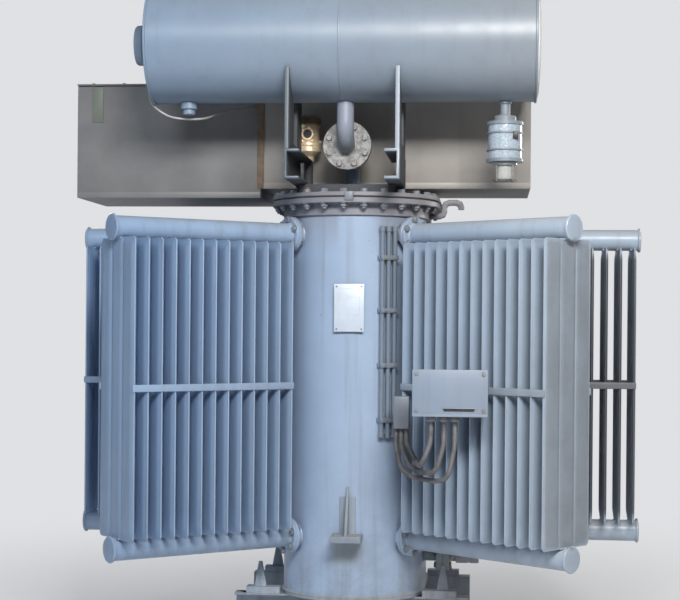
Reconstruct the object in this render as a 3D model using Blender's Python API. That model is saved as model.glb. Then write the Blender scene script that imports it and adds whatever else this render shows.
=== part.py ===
"""Oil-filled power transformer: oval tank, six panel radiators, conservator and terminal box.

Metres, +Z up. Seen from the tank's rounded front, X runs to the right and Y to the back.
The origin is on the floor under the middle of the tank.
"""
from math import cos, pi, radians, sin, sqrt, tan

import bmesh
import bpy
from mathutils import Matrix, Vector

# Clearance between pieces that touch, and how far fused pieces reach into each other.
SEAT_GAP = 0.0003
WELD = 0.002

# Tank: an oval plan with its long axis on Y.
TANK_RADIUS = 0.250
TANK_STRAIGHT = 0.310
TANK_HEIGHT = 1.382
FLOOR_PLATE = 0.012
FLOOR_LIP = 0.006
OVAL_STEPS = 16

# Rim, gasket and cover.
RIM_WIDTH = 0.050
RIM_THICKNESS = 0.018
COLLAR_WIDTH = 0.010
COLLAR_HEIGHT = 0.041
GASKET_THICKNESS = 0.005
GASKET_INSET = 0.004
COVER_THICKNESS = 0.014

# Base frame.
SKID_LENGTH = 0.960
SKID_SPACING = 0.480
SKID_SECTION = (0.080, 0.045, 0.0065)
BEAM_LENGTH = 2 * (TANK_RADIUS + 0.165)
BEAM_SPACING = 0.420
BEAM_SECTION = (0.120, 0.055, 0.008)
LUG_LENGTH = 0.120
LUG_WIDTH = 0.049
LUG_THICKNESS = 0.022
LUG_GUSSET = 0.012
LUG_GUSSET_HEIGHT = 0.090
LUG_GUSSET_FOOT = 0.044
LUG_GUSSET_TIP = 0.012
LUG_GUSSET_PLACE = 0.048
LUG_INSET = 0.042
LUG_SETBACK = 0.004

# Radiators.
FIN_COUNT = 13
FIN_PITCH = 0.050
FIN_WIDTH = 0.240
FIN_FLUTES = 3
FIN_CREST = 0.0075
FIN_SEAM = 0.0025
FIN_EDGE = 0.006
FIN_SHOULDER = 0.010
HEADER_RADIUS = 0.038
HEADER_RISE = 0.2031
HEADER_DROP = 0.1224
HEADER_END = 0.020
HEADER_CAP_RADIUS = 0.044
HEADER_CAP_THICKNESS = 0.010
HEADER_SIDES = 10
FIN_BITE = 0.004
FIRST_FIN = 0.0945
STUB_LENGTH = 0.030
SIDE_STUB_LENGTH = 0.083
FLANGE_RADIUS = 0.062
FLANGE_THICKNESS = 0.012
STAY_RAISE = 0.003
STAY_WIDTH = 0.024
STAY_THICKNESS = 0.005
CORNER_ANGLE = 39.5

# Jacking pads and nameplate on the rounded ends.
PAD_WIDTH = 0.106
PAD_DEPTH = 0.095
PAD_THICKNESS = 0.022
PAD_RISE = 0.2241
PAD_GUSSET = 0.010
PAD_GUSSET_REACH = 0.9
PAD_BACKING = (0.054, 0.006, 0.126)
PAD_GUSSET_HEIGHT = 0.161
PLATE_WIDTH = 0.104
PLATE_HEIGHT = 0.165
PLATE_DROP = 0.379
PLATE_THICKNESS = 0.003
PLATE_BACK = 0.010
PLATE_BORDER = 0.012

# Conservator, along X, and its supports.
CONSERVATOR_RADIUS = 0.2015
CONSERVATOR_LENGTH = 1.326
CONSERVATOR_X = -0.027
CONSERVATOR_Y = -0.405
CONSERVATOR_RISE = 0.5125
END_PLATE = 0.008
END_DISH = 0.012
END_RIM = 0.004
DISH_RADIUS = 0.8
DISH_SHARE = 0.75
DRUM_SIDES = 32
SUPPORT_X = -0.014
SUPPORT_SPACING = 0.386
SUPPORT_PLATE = 0.014
SUPPORT_HALF_DEPTH = 0.933 * CONSERVATOR_RADIUS
SUPPORT_WINDOW = 0.298 * CONSERVATOR_RADIUS
SUPPORT_TOP = 0.521 * CONSERVATOR_RADIUS
SUPPORT_FOOT = 0.030
CHANNEL_SECTION = (0.100, 0.050, 0.0085)
CHANNEL_FRONT = CONSERVATOR_Y - SUPPORT_HALF_DEPTH - 0.004
CHANNEL_BACK = CONSERVATOR_Y + SUPPORT_HALF_DEPTH + 0.027
CROSS_BAR_SECTION = (0.040, 0.031)
CROSS_BAR_FRONT = -(TANK_STRAIGHT / 2 + 0.80 * TANK_RADIUS)
CROSS_BAR_BACK = -(TANK_STRAIGHT / 2 + 0.34 * TANK_RADIUS)
GAUGE_RADIUS = 0.070
GAUGE_DEPTH = 0.048
GAUGE_NECK = 0.040
GAUGE_NECK_SHARE = 0.3
GAUGE_FLARE_SHARE = 0.4
GAUGE_BEZEL_SHARE = 0.85
GAUGE_GLASS = 0.9
DRAIN_INSET = 0.124
DRAIN_RADII = (0.030, 0.021)
DRAIN_LENGTHS = (0.024, 0.018)

# Oil pipe from the conservator through the gas relay to the cover.
PIPE_RADIUS = 0.030
PIPE_X = -0.019
PIPE_RUN_SHARE = 0.547
PIPE_STRAIGHT = 0.002
PIPE_BEND = 0.070
PIPE_FLANGE_RADIUS = 0.085
PIPE_FLANGE = 0.016
RELAY_LENGTH = 0.120
RELAY_RADIUS = 0.052
RELAY_DOME_RADIUS = 0.036
RELAY_DOME_TOP = 0.088
OUTLET_BEND = 0.048
COVER_FLANGE_RADIUS = 0.060
COVER_FLANGE = 0.012

# Pressure relief valve.
RELIEF_X = -0.1735
RELIEF_Y = -0.165
RELIEF_RADIUS = 0.045
RELIEF_RISE = 0.1535
RELIEF_HEIGHT = 0.145
RELIEF_BASE = 0.040
RELIEF_CAP = 0.034
RELIEF_CHAMFER = 0.006
RELIEF_CROWN = 0.010
RELIEF_CROWN_SHARE = 0.7
RELIEF_WAIST = 0.82
RELIEF_NECK = 0.012
RELIEF_FLANGE_RADIUS = 0.032

# Silica gel breather under the conservator.
BREATHER_INSET = 0.106
BREATHER_PIPE_RADIUS = 0.017
BREATHER_PIPE = 0.051
BREATHER_CAP_RADIUS = 0.039
BREATHER_CAP = 0.020
BREATHER_RADIUS = 0.064
BREATHER_GLASS = 0.138
BREATHER_RING = 0.010
BREATHER_STEP = 0.003
BREATHER_CUP_RADIUS = 0.044
BREATHER_CUP = 0.068
BREATHER_CUP_SHARE = 0.7
BREATHER_CUP_FOOT = 0.6
BREATHER_CUP_ROUND = 0.006

# Terminal box on the cover, and the cable box bolted to its left end.
BOX_FRONT = -0.105
BOX_DEPTH = 0.450
BOX_RISE = 0.0375
BOX_HEIGHT = 0.385
BOX_LEFT = -0.355
BOX_RIGHT = 0.625
BOX_LID = 0.006
BOX_LID_LIP = 0.012
CABLE_BOX_LEFT = -1.041
CABLE_BOX_DROP = 0.034
THROAT_LENGTH = 0.440
THROAT_WIDTH = 0.360

# Control box in front of the right-hand corner radiator, on two arms from the radiator's stay.
CONTROL_OFFSET = (0.0521, 0.408)
CONTROL_WIDTH = 0.229
CONTROL_RISE = 0.065
CONTROL_HEIGHT = 0.138
CONTROL_DEPTH = 0.077
CONTROL_LID = 0.016
CONTROL_LIP = 0.006
ARM_HEIGHT = 0.030
ARM_THICKNESS = 0.006
ARM_PLACES = (0.040, 0.195)
GLAND_RADIUS = 0.014
GLAND_LENGTH = 0.024
GLAND_PLACES = (0.053, 0.095, 0.130)
GLAND_SETBACK = 0.046
JUNCTION_OFFSET = (-0.0303, 0.159)
JUNCTION_SIZE = (0.0522, 0.057, 0.108)
JUNCTION_DROP = 0.030
JUNCTION_PLACES = (0.0429, 0.0254, 0.0079)
JUNCTION_SETBACK = 0.027
BRACKET_PLACE = 0.0074
BRACKET_THICKNESS = 0.006
BRACKET_HEIGHT = 0.040
CONDUIT_RADIUS = 0.0085
CONDUIT_SAGS = (0.109, 0.134, 0.159)

# Conduit riser up the tank wall.
RISER_ANGLE = 30.0
RISER_PITCH = 0.024
RISER_DROP = 0.177
RISER_SHORT = 0.095
RISER_OFFSET = 0.018
RISER_TUBE = 0.009
CLAMP_HEIGHT = 0.016
CLAMP_REACH = 1.4
CLAMP_THICKNESS = 0.003
CLAMP_BITE = 0.010
CLAMP_SHARES = (0.08, 0.34, 0.60, 0.85)

# Drain valve and vent pipe on the tank's right-hand side.
VALVE_NECK = 0.020
VALVE_FLANGE_RADIUS = 0.053
VALVE_FLANGE_START = 0.048
VALVE_FLANGE_END = 0.094
VALVE_BODY = 0.117
VALVE_REACH = 0.200
VALVE_Y = -0.122
VALVE_RISE = 0.1151
VALVE_HANDLE = 1.3
VENT_RADIUS = 0.011
VENT_Y = -0.040
VENT_DEPTH = 0.039
VENT_RISE = 0.050
VENT_OUT = 0.064
VENT_REACH = 0.126
VENT_DROP = 0.026
VENT_BEND = 0.018

# Lead from the oil gauge to the cable box.
LEAD_RADIUS = 0.004
LEAD_INSET = 0.031
LEAD_DROP = 0.087

# Levels that follow from the sizes above.
BEAM_BOTTOM = SKID_SECTION[0] + SEAT_GAP
BEAM_TOP = BEAM_BOTTOM + BEAM_SECTION[0]
FLOOR_BOTTOM = BEAM_TOP + SEAT_GAP
WALL_BOTTOM = FLOOR_BOTTOM + FLOOR_PLATE + SEAT_GAP
WALL_TOP = WALL_BOTTOM + TANK_HEIGHT
GASKET_BOTTOM = WALL_TOP + SEAT_GAP
COVER_BOTTOM = GASKET_BOTTOM + GASKET_THICKNESS + SEAT_GAP
COVER_TOP = COVER_BOTTOM + COVER_THICKNESS
BAR_BOTTOM = COVER_TOP + SEAT_GAP
CHANNEL_BOTTOM = BAR_BOTTOM + CROSS_BAR_SECTION[1] + SEAT_GAP
CHANNEL_TOP = CHANNEL_BOTTOM + CHANNEL_SECTION[0]
FRONT_CENTRE = -TANK_STRAIGHT / 2
BACK_CENTRE = TANK_STRAIGHT / 2
CORNER_X = TANK_RADIUS * cos(radians(CORNER_ANGLE))
CORNER_Y = FRONT_CENTRE - TANK_RADIUS * sin(radians(CORNER_ANGLE))
CONTROL_LEFT = CORNER_X + CONTROL_OFFSET[0]
CONTROL_BACK = CORNER_Y - CONTROL_OFFSET[1]
JUNCTION_LEFT = CORNER_X + JUNCTION_OFFSET[0]
JUNCTION_BACK = CORNER_Y - JUNCTION_OFFSET[1]
HEADER_LOW = WALL_BOTTOM + HEADER_RISE
HEADER_HIGH = WALL_TOP - HEADER_DROP
STAY_HEIGHT = (HEADER_LOW + HEADER_HIGH) / 2 + STAY_RAISE
PAD_TOP = WALL_BOTTOM + PAD_RISE
PLATE_MIDDLE = WALL_TOP - PLATE_DROP
CONSERVATOR_Z = COVER_TOP + CONSERVATOR_RISE
CONSERVATOR_LEFT = CONSERVATOR_X - CONSERVATOR_LENGTH / 2
CONSERVATOR_RIGHT = CONSERVATOR_X + CONSERVATOR_LENGTH / 2
BOX_BACK = BOX_FRONT + BOX_DEPTH
BOX_BOTTOM = COVER_TOP + BOX_RISE
BOX_TOP = BOX_BOTTOM + BOX_HEIGHT
CABLE_BOX_BOTTOM = BOX_BOTTOM - CABLE_BOX_DROP
CONTROL_TOP = STAY_HEIGHT + CONTROL_RISE
CONTROL_BOTTOM = CONTROL_TOP - CONTROL_HEIGHT
JUNCTION_TOP = STAY_HEIGHT - JUNCTION_DROP
JUNCTION_BOTTOM = JUNCTION_TOP - JUNCTION_SIZE[2]
RISER_BOTTOM = STAY_HEIGHT - RISER_DROP
RISER_TOP = WALL_TOP - RISER_SHORT
VALVE_Z = WALL_BOTTOM + VALVE_RISE
VENT_Z = WALL_TOP - VENT_DEPTH
DRUM_UNDERSIDE = CONSERVATOR_Z - CONSERVATOR_RADIUS * cos(pi / DRUM_SIDES) - SEAT_GAP
PIPE_RUN_Z = COVER_TOP + PIPE_RUN_SHARE * (DRUM_UNDERSIDE - COVER_TOP)


def clear_scene():
    for old in list(bpy.data.objects):
        bpy.data.objects.remove(old)


def make_material(name, colour, roughness, metallic):
    material = bpy.data.materials.new(name)
    material.use_nodes = True
    shader = material.node_tree.nodes["Principled BSDF"]
    shader.inputs["Base Color"].default_value = (*colour, 1.0)
    shader.inputs["Roughness"].default_value = roughness
    shader.inputs["Metallic"].default_value = metallic
    return material


def make_materials():
    return {
        "paint": make_material("grey_blue_paint", (0.40, 0.47, 0.56), 0.38, 0.0),
        "sheet": make_material("warm_grey_sheet", (0.30, 0.29, 0.27), 0.50, 0.2),
        "brass": make_material("brass", (0.78, 0.58, 0.28), 0.35, 1.0),
        "rubber": make_material("black_rubber", (0.03, 0.03, 0.03), 0.85, 0.0),
        "glass": make_material("breather_glass", (0.42, 0.58, 0.72), 0.15, 0.0),
        "label": make_material("label_metal", (0.80, 0.82, 0.84), 0.35, 0.6),
        "conduit": make_material("conduit_grey", (0.16, 0.15, 0.15), 0.55, 0.0),
    }


# Solids, each a new bmesh.

def add_box(low, high):
    solid = bmesh.new()
    bmesh.ops.create_cube(solid, size=1.0)
    size = [b - a for a, b in zip(low, high)]
    middle = [(a + b) / 2 for a, b in zip(low, high)]
    bmesh.ops.scale(solid, vec=size, verts=solid.verts)
    bmesh.ops.translate(solid, vec=middle, verts=solid.verts)
    return solid


def add_prism(outline, bottom, top):
    """A solid with a flat outline of (x, y) points, counter-clockwise, from bottom to top."""
    solid = bmesh.new()
    face = solid.faces.new([solid.verts.new((x, y, bottom)) for x, y in outline])
    moved = bmesh.ops.extrude_face_region(solid, geom=[face])["geom"]
    raised = [item for item in moved if isinstance(item, bmesh.types.BMVert)]
    bmesh.ops.translate(solid, vec=(0, 0, top - bottom), verts=raised)
    bmesh.ops.recalc_face_normals(solid, faces=solid.faces)
    return solid


def add_turned(profile, sides):
    """A solid turned about Z from (radius, height) points that start and end on the axis."""
    solid = bmesh.new()
    flat = pi / sides
    line = [solid.verts.new((radius * cos(flat), radius * sin(flat), height)) for radius, height in profile]
    edges = [solid.edges.new(pair) for pair in zip(line, line[1:])]
    bmesh.ops.spin(solid, geom=line + edges, cent=(0, 0, 0), axis=(0, 0, 1), angle=2 * pi,
                   steps=sides, use_merge=True)
    bmesh.ops.remove_doubles(solid, verts=solid.verts, dist=1e-6)
    bmesh.ops.recalc_face_normals(solid, faces=solid.faces)
    return solid


def add_cylinder(start, end, radius, sides):
    start, end = Vector(start), Vector(end)
    solid = add_turned([(0, 0), (radius, 0), (radius, (end - start).length), (0, (end - start).length)], sides)
    return aim(solid, start, end - start)


def aim(solid, place, direction):
    """Turns a solid from +Z to a direction and moves it to its place."""
    turn = Vector((0, 0, 1)).rotation_difference(Vector(direction)).to_matrix().to_4x4()
    bmesh.ops.transform(solid, matrix=Matrix.Translation(place) @ turn, verts=solid.verts)
    return solid


def add_pipe(route, radius, sides):
    """A round bar along a list of points, with mitred joints."""
    solid = bmesh.new()
    route = [Vector(point) for point in route]
    rings = []
    frame = (route[1] - route[0]).to_track_quat("Z", "Y").to_matrix()
    heading = (route[1] - route[0]).normalized()
    for number, point in enumerate(route):
        before = (point - route[max(number - 1, 0)]).normalized() or heading
        after = (route[min(number + 1, len(route) - 1)] - point).normalized() or before
        middle = ((before + after) if before.length else after).normalized()
        frame = heading.rotation_difference(middle).to_matrix() @ frame
        heading = middle
        stretch = 1 / max(middle.dot(after), 0.2)
        bend = before.cross(after)
        ring = []
        for step in range(sides):
            angle = 2 * pi * step / sides
            offset = frame @ Vector((cos(angle) * radius, sin(angle) * radius, 0))
            if bend.length > 1e-6:
                across = bend.normalized().cross(middle)
                offset += across * offset.dot(across) * (stretch - 1)
            ring.append(solid.verts.new(point + offset))
        rings.append(ring)
    for low, high in zip(rings, rings[1:]):
        for step in range(sides):
            following = (step + 1) % sides
            solid.faces.new((low[step], low[following], high[following], high[step]))
    solid.faces.new(list(reversed(rings[0])))
    solid.faces.new(rings[-1])
    bmesh.ops.recalc_face_normals(solid, faces=solid.faces)
    return solid


def bend_points(start, corner, end, radius, steps=5):
    """The points of a line from start to end with a rounded corner."""
    start, corner, end = Vector(start), Vector(corner), Vector(end)
    back, on = (start - corner).normalized(), (end - corner).normalized()
    centre = corner + (back + on) * radius
    arc = []
    for step in range(steps + 1):
        angle = pi / 2 * step / steps
        arc.append(centre - on * radius * cos(angle) - back * radius * sin(angle))
    return [start, *arc, end]


def oval(radius, straight, steps=OVAL_STEPS):
    """Counter-clockwise points of an oval with its long axis on Y."""
    points = []
    for centre, first in ((straight / 2, 0.0), (-straight / 2, pi)):
        for step in range(steps + 1):
            angle = first + pi * step / steps
            points.append((radius * cos(angle), centre + radius * sin(angle)))
    return points


def add_oval(radius, bottom, top):
    return add_prism(oval(radius, TANK_STRAIGHT), bottom, top)


def add_oval_ring(profile):
    """A ring round the tank from a closed profile of (distance from the wall, height) points."""
    solid = bmesh.new()
    rings = []
    for offset, height in profile:
        rings.append([solid.verts.new((x, y, height)) for x, y in oval(TANK_RADIUS + offset, TANK_STRAIGHT)])
    count = len(rings[0])
    for low, high in zip(rings, rings[1:] + rings[:1]):
        for step in range(count):
            following = (step + 1) % count
            solid.faces.new((low[step], low[following], high[following], high[step]))
    bmesh.ops.recalc_face_normals(solid, faces=solid.faces)
    return solid


def add_channel(section, start, end, opening):
    """A U channel from start to end, on its web's outer face, opening towards +1 or -1 across it."""
    height, flange, thickness = section
    start, end = Vector(start), Vector(end)
    across = Vector((0, 0, 1)).cross(end - start).normalized() * opening
    outline = [(0, 0), (flange, 0), (flange, thickness), (thickness, thickness),
               (thickness, height - thickness), (flange, height - thickness), (flange, height), (0, height)]
    solid = bmesh.new()
    face = solid.faces.new([solid.verts.new(start + across * u + Vector((0, 0, v))) for u, v in outline])
    moved = bmesh.ops.extrude_face_region(solid, geom=[face])["geom"]
    raised = [item for item in moved if isinstance(item, bmesh.types.BMVert)]
    bmesh.ops.translate(solid, vec=end - start, verts=raised)
    bmesh.ops.recalc_face_normals(solid, faces=solid.faces)
    return solid


# Objects.

def make_object(name, solid, material, parent):
    mesh = bpy.data.meshes.new(name)
    solid.to_mesh(mesh)
    solid.free()
    return place_mesh(name, mesh, material, parent)


def place_mesh(name, mesh, material, parent):
    item = bpy.data.objects.new(name, mesh)
    bpy.context.collection.objects.link(item)
    if not mesh.materials:
        mesh.materials.append(material)
    mesh.shade_smooth()
    mesh.set_sharp_from_angle(angle=radians(32))
    item.parent = parent
    return item


def combine(first, others, operation="UNION"):
    """The mesh of a solid after a Boolean with each of the others in turn."""
    helpers = []
    for number, solid in enumerate([first, *others]):
        mesh = bpy.data.meshes.new(f"helper_{number}")
        solid.to_mesh(mesh)
        solid.free()
        helper = bpy.data.objects.new(mesh.name, mesh)
        bpy.context.collection.objects.link(helper)
        helpers.append(helper)
    for other in helpers[1:]:
        step = helpers[0].modifiers.new(operation.lower(), "BOOLEAN")
        step.operation = operation
        step.object = other
    bpy.context.view_layer.update()
    result = bpy.data.meshes.new_from_object(helpers[0].evaluated_get(bpy.context.evaluated_depsgraph_get()))
    for helper in helpers:
        bpy.data.objects.remove(helper)
    return result


def to_solid(mesh):
    solid = bmesh.new()
    solid.from_mesh(mesh)
    return solid


def make_joined(name, solids, material, parent):
    return make_object(name, to_solid(combine(solids[0], solids[1:])), material, parent)


def radiator_sites():
    """Name, place on the wall, outward angle in degrees and stub length of each radiator."""
    corner = radians(CORNER_ANGLE)
    sites = []
    for end, centre, way in (("front", FRONT_CENTRE, -1), ("rear", BACK_CENTRE, 1)):
        for side, sign in (("left", -1), ("right", 1)):
            heading = Vector((sign * cos(corner), way * sin(corner), 0))
            sites.append((f"{end}_{side}", Vector((0, centre, 0)) + heading * TANK_RADIUS, heading, STUB_LENGTH))
    for side, sign in (("left", -1), ("right", 1)):
        sites.append((f"side_{side}", Vector((sign * TANK_RADIUS, 0, 0)), Vector((sign, 0, 0)), SIDE_STUB_LENGTH))
    return sites


def build_base(materials, parent):
    """Two skids, and two cross beams that carry the tank and its pointed anchor lugs."""
    for name, side in (("skid_left", -1), ("skid_right", 1)):
        x = side * SKID_SPACING / 2
        solid = add_channel(SKID_SECTION, (x, -SKID_LENGTH / 2, 0), (x, SKID_LENGTH / 2, 0), side)
        make_object(name, solid, materials["paint"], parent)
    for name, way in (("cross_beam_front", -1), ("cross_beam_rear", 1)):
        y = way * BEAM_SPACING / 2
        start, end = (-BEAM_LENGTH / 2, y, BEAM_BOTTOM), (BEAM_LENGTH / 2, y, BEAM_BOTTOM)
        solids = [add_channel(BEAM_SECTION, start, end, way)]
        for sign in (-1, 1):
            solids += anchor_lug(sign, way)
        make_joined(name, solids, materials["paint"], parent)


def anchor_lug(sign, way):
    """A plate on the end of a cross beam with a pointed gusset standing on it."""
    y = sorted((way * (BEAM_SPACING / 2 + LUG_SETBACK), way * (BEAM_SPACING / 2 + LUG_SETBACK + LUG_WIDTH)))
    outer = sign * (BEAM_LENGTH / 2 - LUG_INSET)
    x = sorted((outer, outer - sign * LUG_LENGTH))
    top = BEAM_TOP + LUG_THICKNESS
    plate = add_box((x[0], y[0], BEAM_TOP - WELD), (x[1], y[1], top))
    across = outer - sign * LUG_GUSSET_PLACE
    foot, tip = LUG_GUSSET_FOOT / 2, LUG_GUSSET_TIP / 2
    outline = [(across - foot, 0), (across + foot, 0), (across + tip, LUG_GUSSET_HEIGHT),
               (across - tip, LUG_GUSSET_HEIGHT)]
    gusset = add_prism(outline, 0, LUG_GUSSET)
    bmesh.ops.rotate(gusset, matrix=Matrix.Rotation(pi / 2, 3, "X"), verts=gusset.verts)
    bmesh.ops.translate(gusset, vec=(0, sum(y) / 2 + LUG_GUSSET / 2, top - WELD), verts=gusset.verts)
    return [plate, gusset]


def wall_half_width(y, radius):
    """Half the width of an oval of this radius at a place along its long axis."""
    over = max(abs(y) - TANK_STRAIGHT / 2, 0)
    return sqrt(radius**2 - over**2)


def build_tank(materials, parent):
    solid = add_oval(TANK_RADIUS + FLOOR_LIP, FLOOR_BOTTOM, FLOOR_BOTTOM + FLOOR_PLATE)
    make_object("tank_floor", solid, materials["paint"], parent)
    solids = [add_oval(TANK_RADIUS, WALL_BOTTOM, WALL_TOP)]
    for _, place, heading, reach in radiator_sites():
        reach += HEADER_RADIUS
        profile = [(0, 0), (HEADER_RADIUS, 0), (HEADER_RADIUS, reach - FLANGE_THICKNESS),
                   (FLANGE_RADIUS, reach - FLANGE_THICKNESS), (FLANGE_RADIUS, reach), (0, reach)]
        for level in (HEADER_LOW, HEADER_HIGH):
            foot = place - heading * HEADER_RADIUS + Vector((0, 0, level))
            solids.append(aim(add_turned(profile, HEADER_SIDES), foot, heading))
    make_joined("tank_body", solids, materials["paint"], parent)
    under = WALL_TOP - RIM_THICKNESS
    profile = [(SEAT_GAP, under - COLLAR_HEIGHT), (COLLAR_WIDTH, under - COLLAR_HEIGHT), (COLLAR_WIDTH, under),
               (RIM_WIDTH, under), (RIM_WIDTH, WALL_TOP), (SEAT_GAP, WALL_TOP)]
    make_object("tank_rim", add_oval_ring(profile), materials["paint"], parent)
    gasket = add_oval(TANK_RADIUS + RIM_WIDTH - GASKET_INSET, GASKET_BOTTOM, GASKET_BOTTOM + GASKET_THICKNESS)
    make_object("cover_gasket", gasket, materials["rubber"], parent)
    cover = add_oval(TANK_RADIUS + RIM_WIDTH, COVER_BOTTOM, COVER_TOP)
    make_object("tank_cover", cover, materials["paint"], parent)


def fin_outline(flutes):
    """One fin's plan: pressed flutes between thin seams, in local (x across, y along the width)."""
    half = FIN_WIDTH / 2
    if flutes == 1:
        side = [(FIN_SEAM, -half), (FIN_CREST, FIN_SHOULDER - half), (FIN_CREST, half - FIN_SHOULDER), (FIN_SEAM, half)]
        return side + [(-x, y) for x, y in reversed(side)]
    flute = (FIN_WIDTH - 2 * FIN_EDGE) / flutes
    side = [(FIN_SEAM, -half)]
    for number in range(flutes):
        start = -half + FIN_EDGE + number * flute
        side += [(FIN_SEAM, start), (FIN_CREST, start + FIN_SHOULDER), (FIN_CREST, start + flute - FIN_SHOULDER)]
    side += [(FIN_SEAM, half - FIN_EDGE), (FIN_SEAM, half)]
    return side + [(-x, y) for x, y in reversed(side)]


def radiator_mesh():
    """One radiator with its flanges towards -X; X is the distance out from the tank wall."""
    last = FIRST_FIN + (FIN_COUNT - 1) * FIN_PITCH
    begin = STUB_LENGTH + SEAT_GAP
    length = last + HEADER_END - begin
    profile = [(0, 0), (FLANGE_RADIUS, 0), (FLANGE_RADIUS, FLANGE_THICKNESS), (HEADER_RADIUS, FLANGE_THICKNESS),
               (HEADER_RADIUS, length), (HEADER_CAP_RADIUS, length),
               (HEADER_CAP_RADIUS, length + HEADER_CAP_THICKNESS), (0, length + HEADER_CAP_THICKNESS)]
    solids = [aim(add_turned(profile, HEADER_SIDES), (begin, 0, level), (1, 0, 0))
              for level in (HEADER_LOW, HEADER_HIGH)]
    bottom = HEADER_LOW + HEADER_RADIUS - FIN_BITE
    top = HEADER_HIGH - HEADER_RADIUS + FIN_BITE
    for number in range(FIN_COUNT):
        flutes = FIN_FLUTES if number in (0, FIN_COUNT - 1) else 1
        outline = [(x + FIRST_FIN + number * FIN_PITCH, y) for x, y in fin_outline(flutes)]
        solids.append(add_prism(outline, bottom, top))
    reach = FIN_WIDTH / 2
    for side in (-1, 1):
        y = sorted((side * (reach - WELD), side * (reach + STAY_THICKNESS)))
        solids.append(add_box((FIRST_FIN - FIN_CREST, y[0], STAY_HEIGHT - STAY_WIDTH / 2),
                              (last + FIN_CREST, y[1], STAY_HEIGHT + STAY_WIDTH / 2)))
    solid = to_solid(combine(solids[0], solids[1:]))
    mesh = bpy.data.meshes.new("radiator")
    solid.to_mesh(mesh)
    solid.free()
    return mesh


def build_radiators(materials, parent):
    mesh = radiator_mesh()
    for name, place, heading, reach in radiator_sites():
        item = place_mesh(f"radiator_{name}", mesh, materials["paint"], parent)
        item.location = place + heading * (reach - STUB_LENGTH)
        item.rotation_euler = (0, 0, Vector((1, 0)).angle_signed(heading.to_2d()) * -1)


def build_wall_fittings(materials, parent):
    """Jacking pads at both rounded ends, and the nameplate on its bracket at the front."""
    wall = TANK_STRAIGHT / 2 + TANK_RADIUS
    for name, way in (("jacking_pad_front", -1), ("jacking_pad_rear", 1)):
        y = sorted((way * (wall - PAD_WIDTH / 2), way * (wall + PAD_DEPTH)))
        plate = add_box((-PAD_WIDTH / 2, y[0], PAD_TOP - PAD_THICKNESS), (PAD_WIDTH / 2, y[1], PAD_TOP))
        slope = [(way * (wall - PAD_GUSSET), PAD_TOP - WELD), (way * (wall + PAD_DEPTH * PAD_GUSSET_REACH), PAD_TOP - WELD),
                 (way * (wall + PAD_GUSSET / 2), PAD_TOP + PAD_GUSSET_HEIGHT),
                 (way * (wall - PAD_GUSSET), PAD_TOP + PAD_GUSSET_HEIGHT)]
        gusset = bmesh.new()
        face = gusset.faces.new([gusset.verts.new((-PAD_GUSSET / 2, y_at, z_at)) for y_at, z_at in slope])
        moved = bmesh.ops.extrude_face_region(gusset, geom=[face])["geom"]
        raised = [item for item in moved if isinstance(item, bmesh.types.BMVert)]
        bmesh.ops.translate(gusset, vec=(PAD_GUSSET, 0, 0), verts=raised)
        bmesh.ops.recalc_face_normals(gusset, faces=gusset.faces)
        width, depth, height = PAD_BACKING
        y = sorted((way * (wall - PAD_GUSSET), way * (wall + depth)))
        backing = add_box((-width / 2, y[0], PAD_TOP - 2 * WELD), (width / 2, y[1], PAD_TOP + height))
        fused = to_solid(combine(plate, [gusset, backing]))
        cut = combine(fused, [add_oval(TANK_RADIUS + SEAT_GAP, FLOOR_BOTTOM, WALL_TOP)], "DIFFERENCE")
        make_object(name, to_solid(cut), materials["paint"], parent)
    half_width, half_height = PLATE_WIDTH / 2 - PLATE_BORDER, PLATE_HEIGHT / 2 - PLATE_BORDER
    bracket = add_box((-half_width, -wall - PLATE_BACK, PLATE_MIDDLE - half_height),
                      (half_width, -wall + PLATE_BACK, PLATE_MIDDLE + half_height))
    cut = combine(bracket, [add_oval(TANK_RADIUS + SEAT_GAP, FLOOR_BOTTOM, WALL_TOP)], "DIFFERENCE")
    make_object("nameplate_bracket", to_solid(cut), materials["paint"], parent)
    front = -wall - PLATE_BACK - SEAT_GAP
    plate = add_box((-PLATE_WIDTH / 2, front - PLATE_THICKNESS, PLATE_MIDDLE - PLATE_HEIGHT / 2),
                    (PLATE_WIDTH / 2, front, PLATE_MIDDLE + PLATE_HEIGHT / 2))
    make_object("nameplate", plate, materials["label"], parent)


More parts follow.
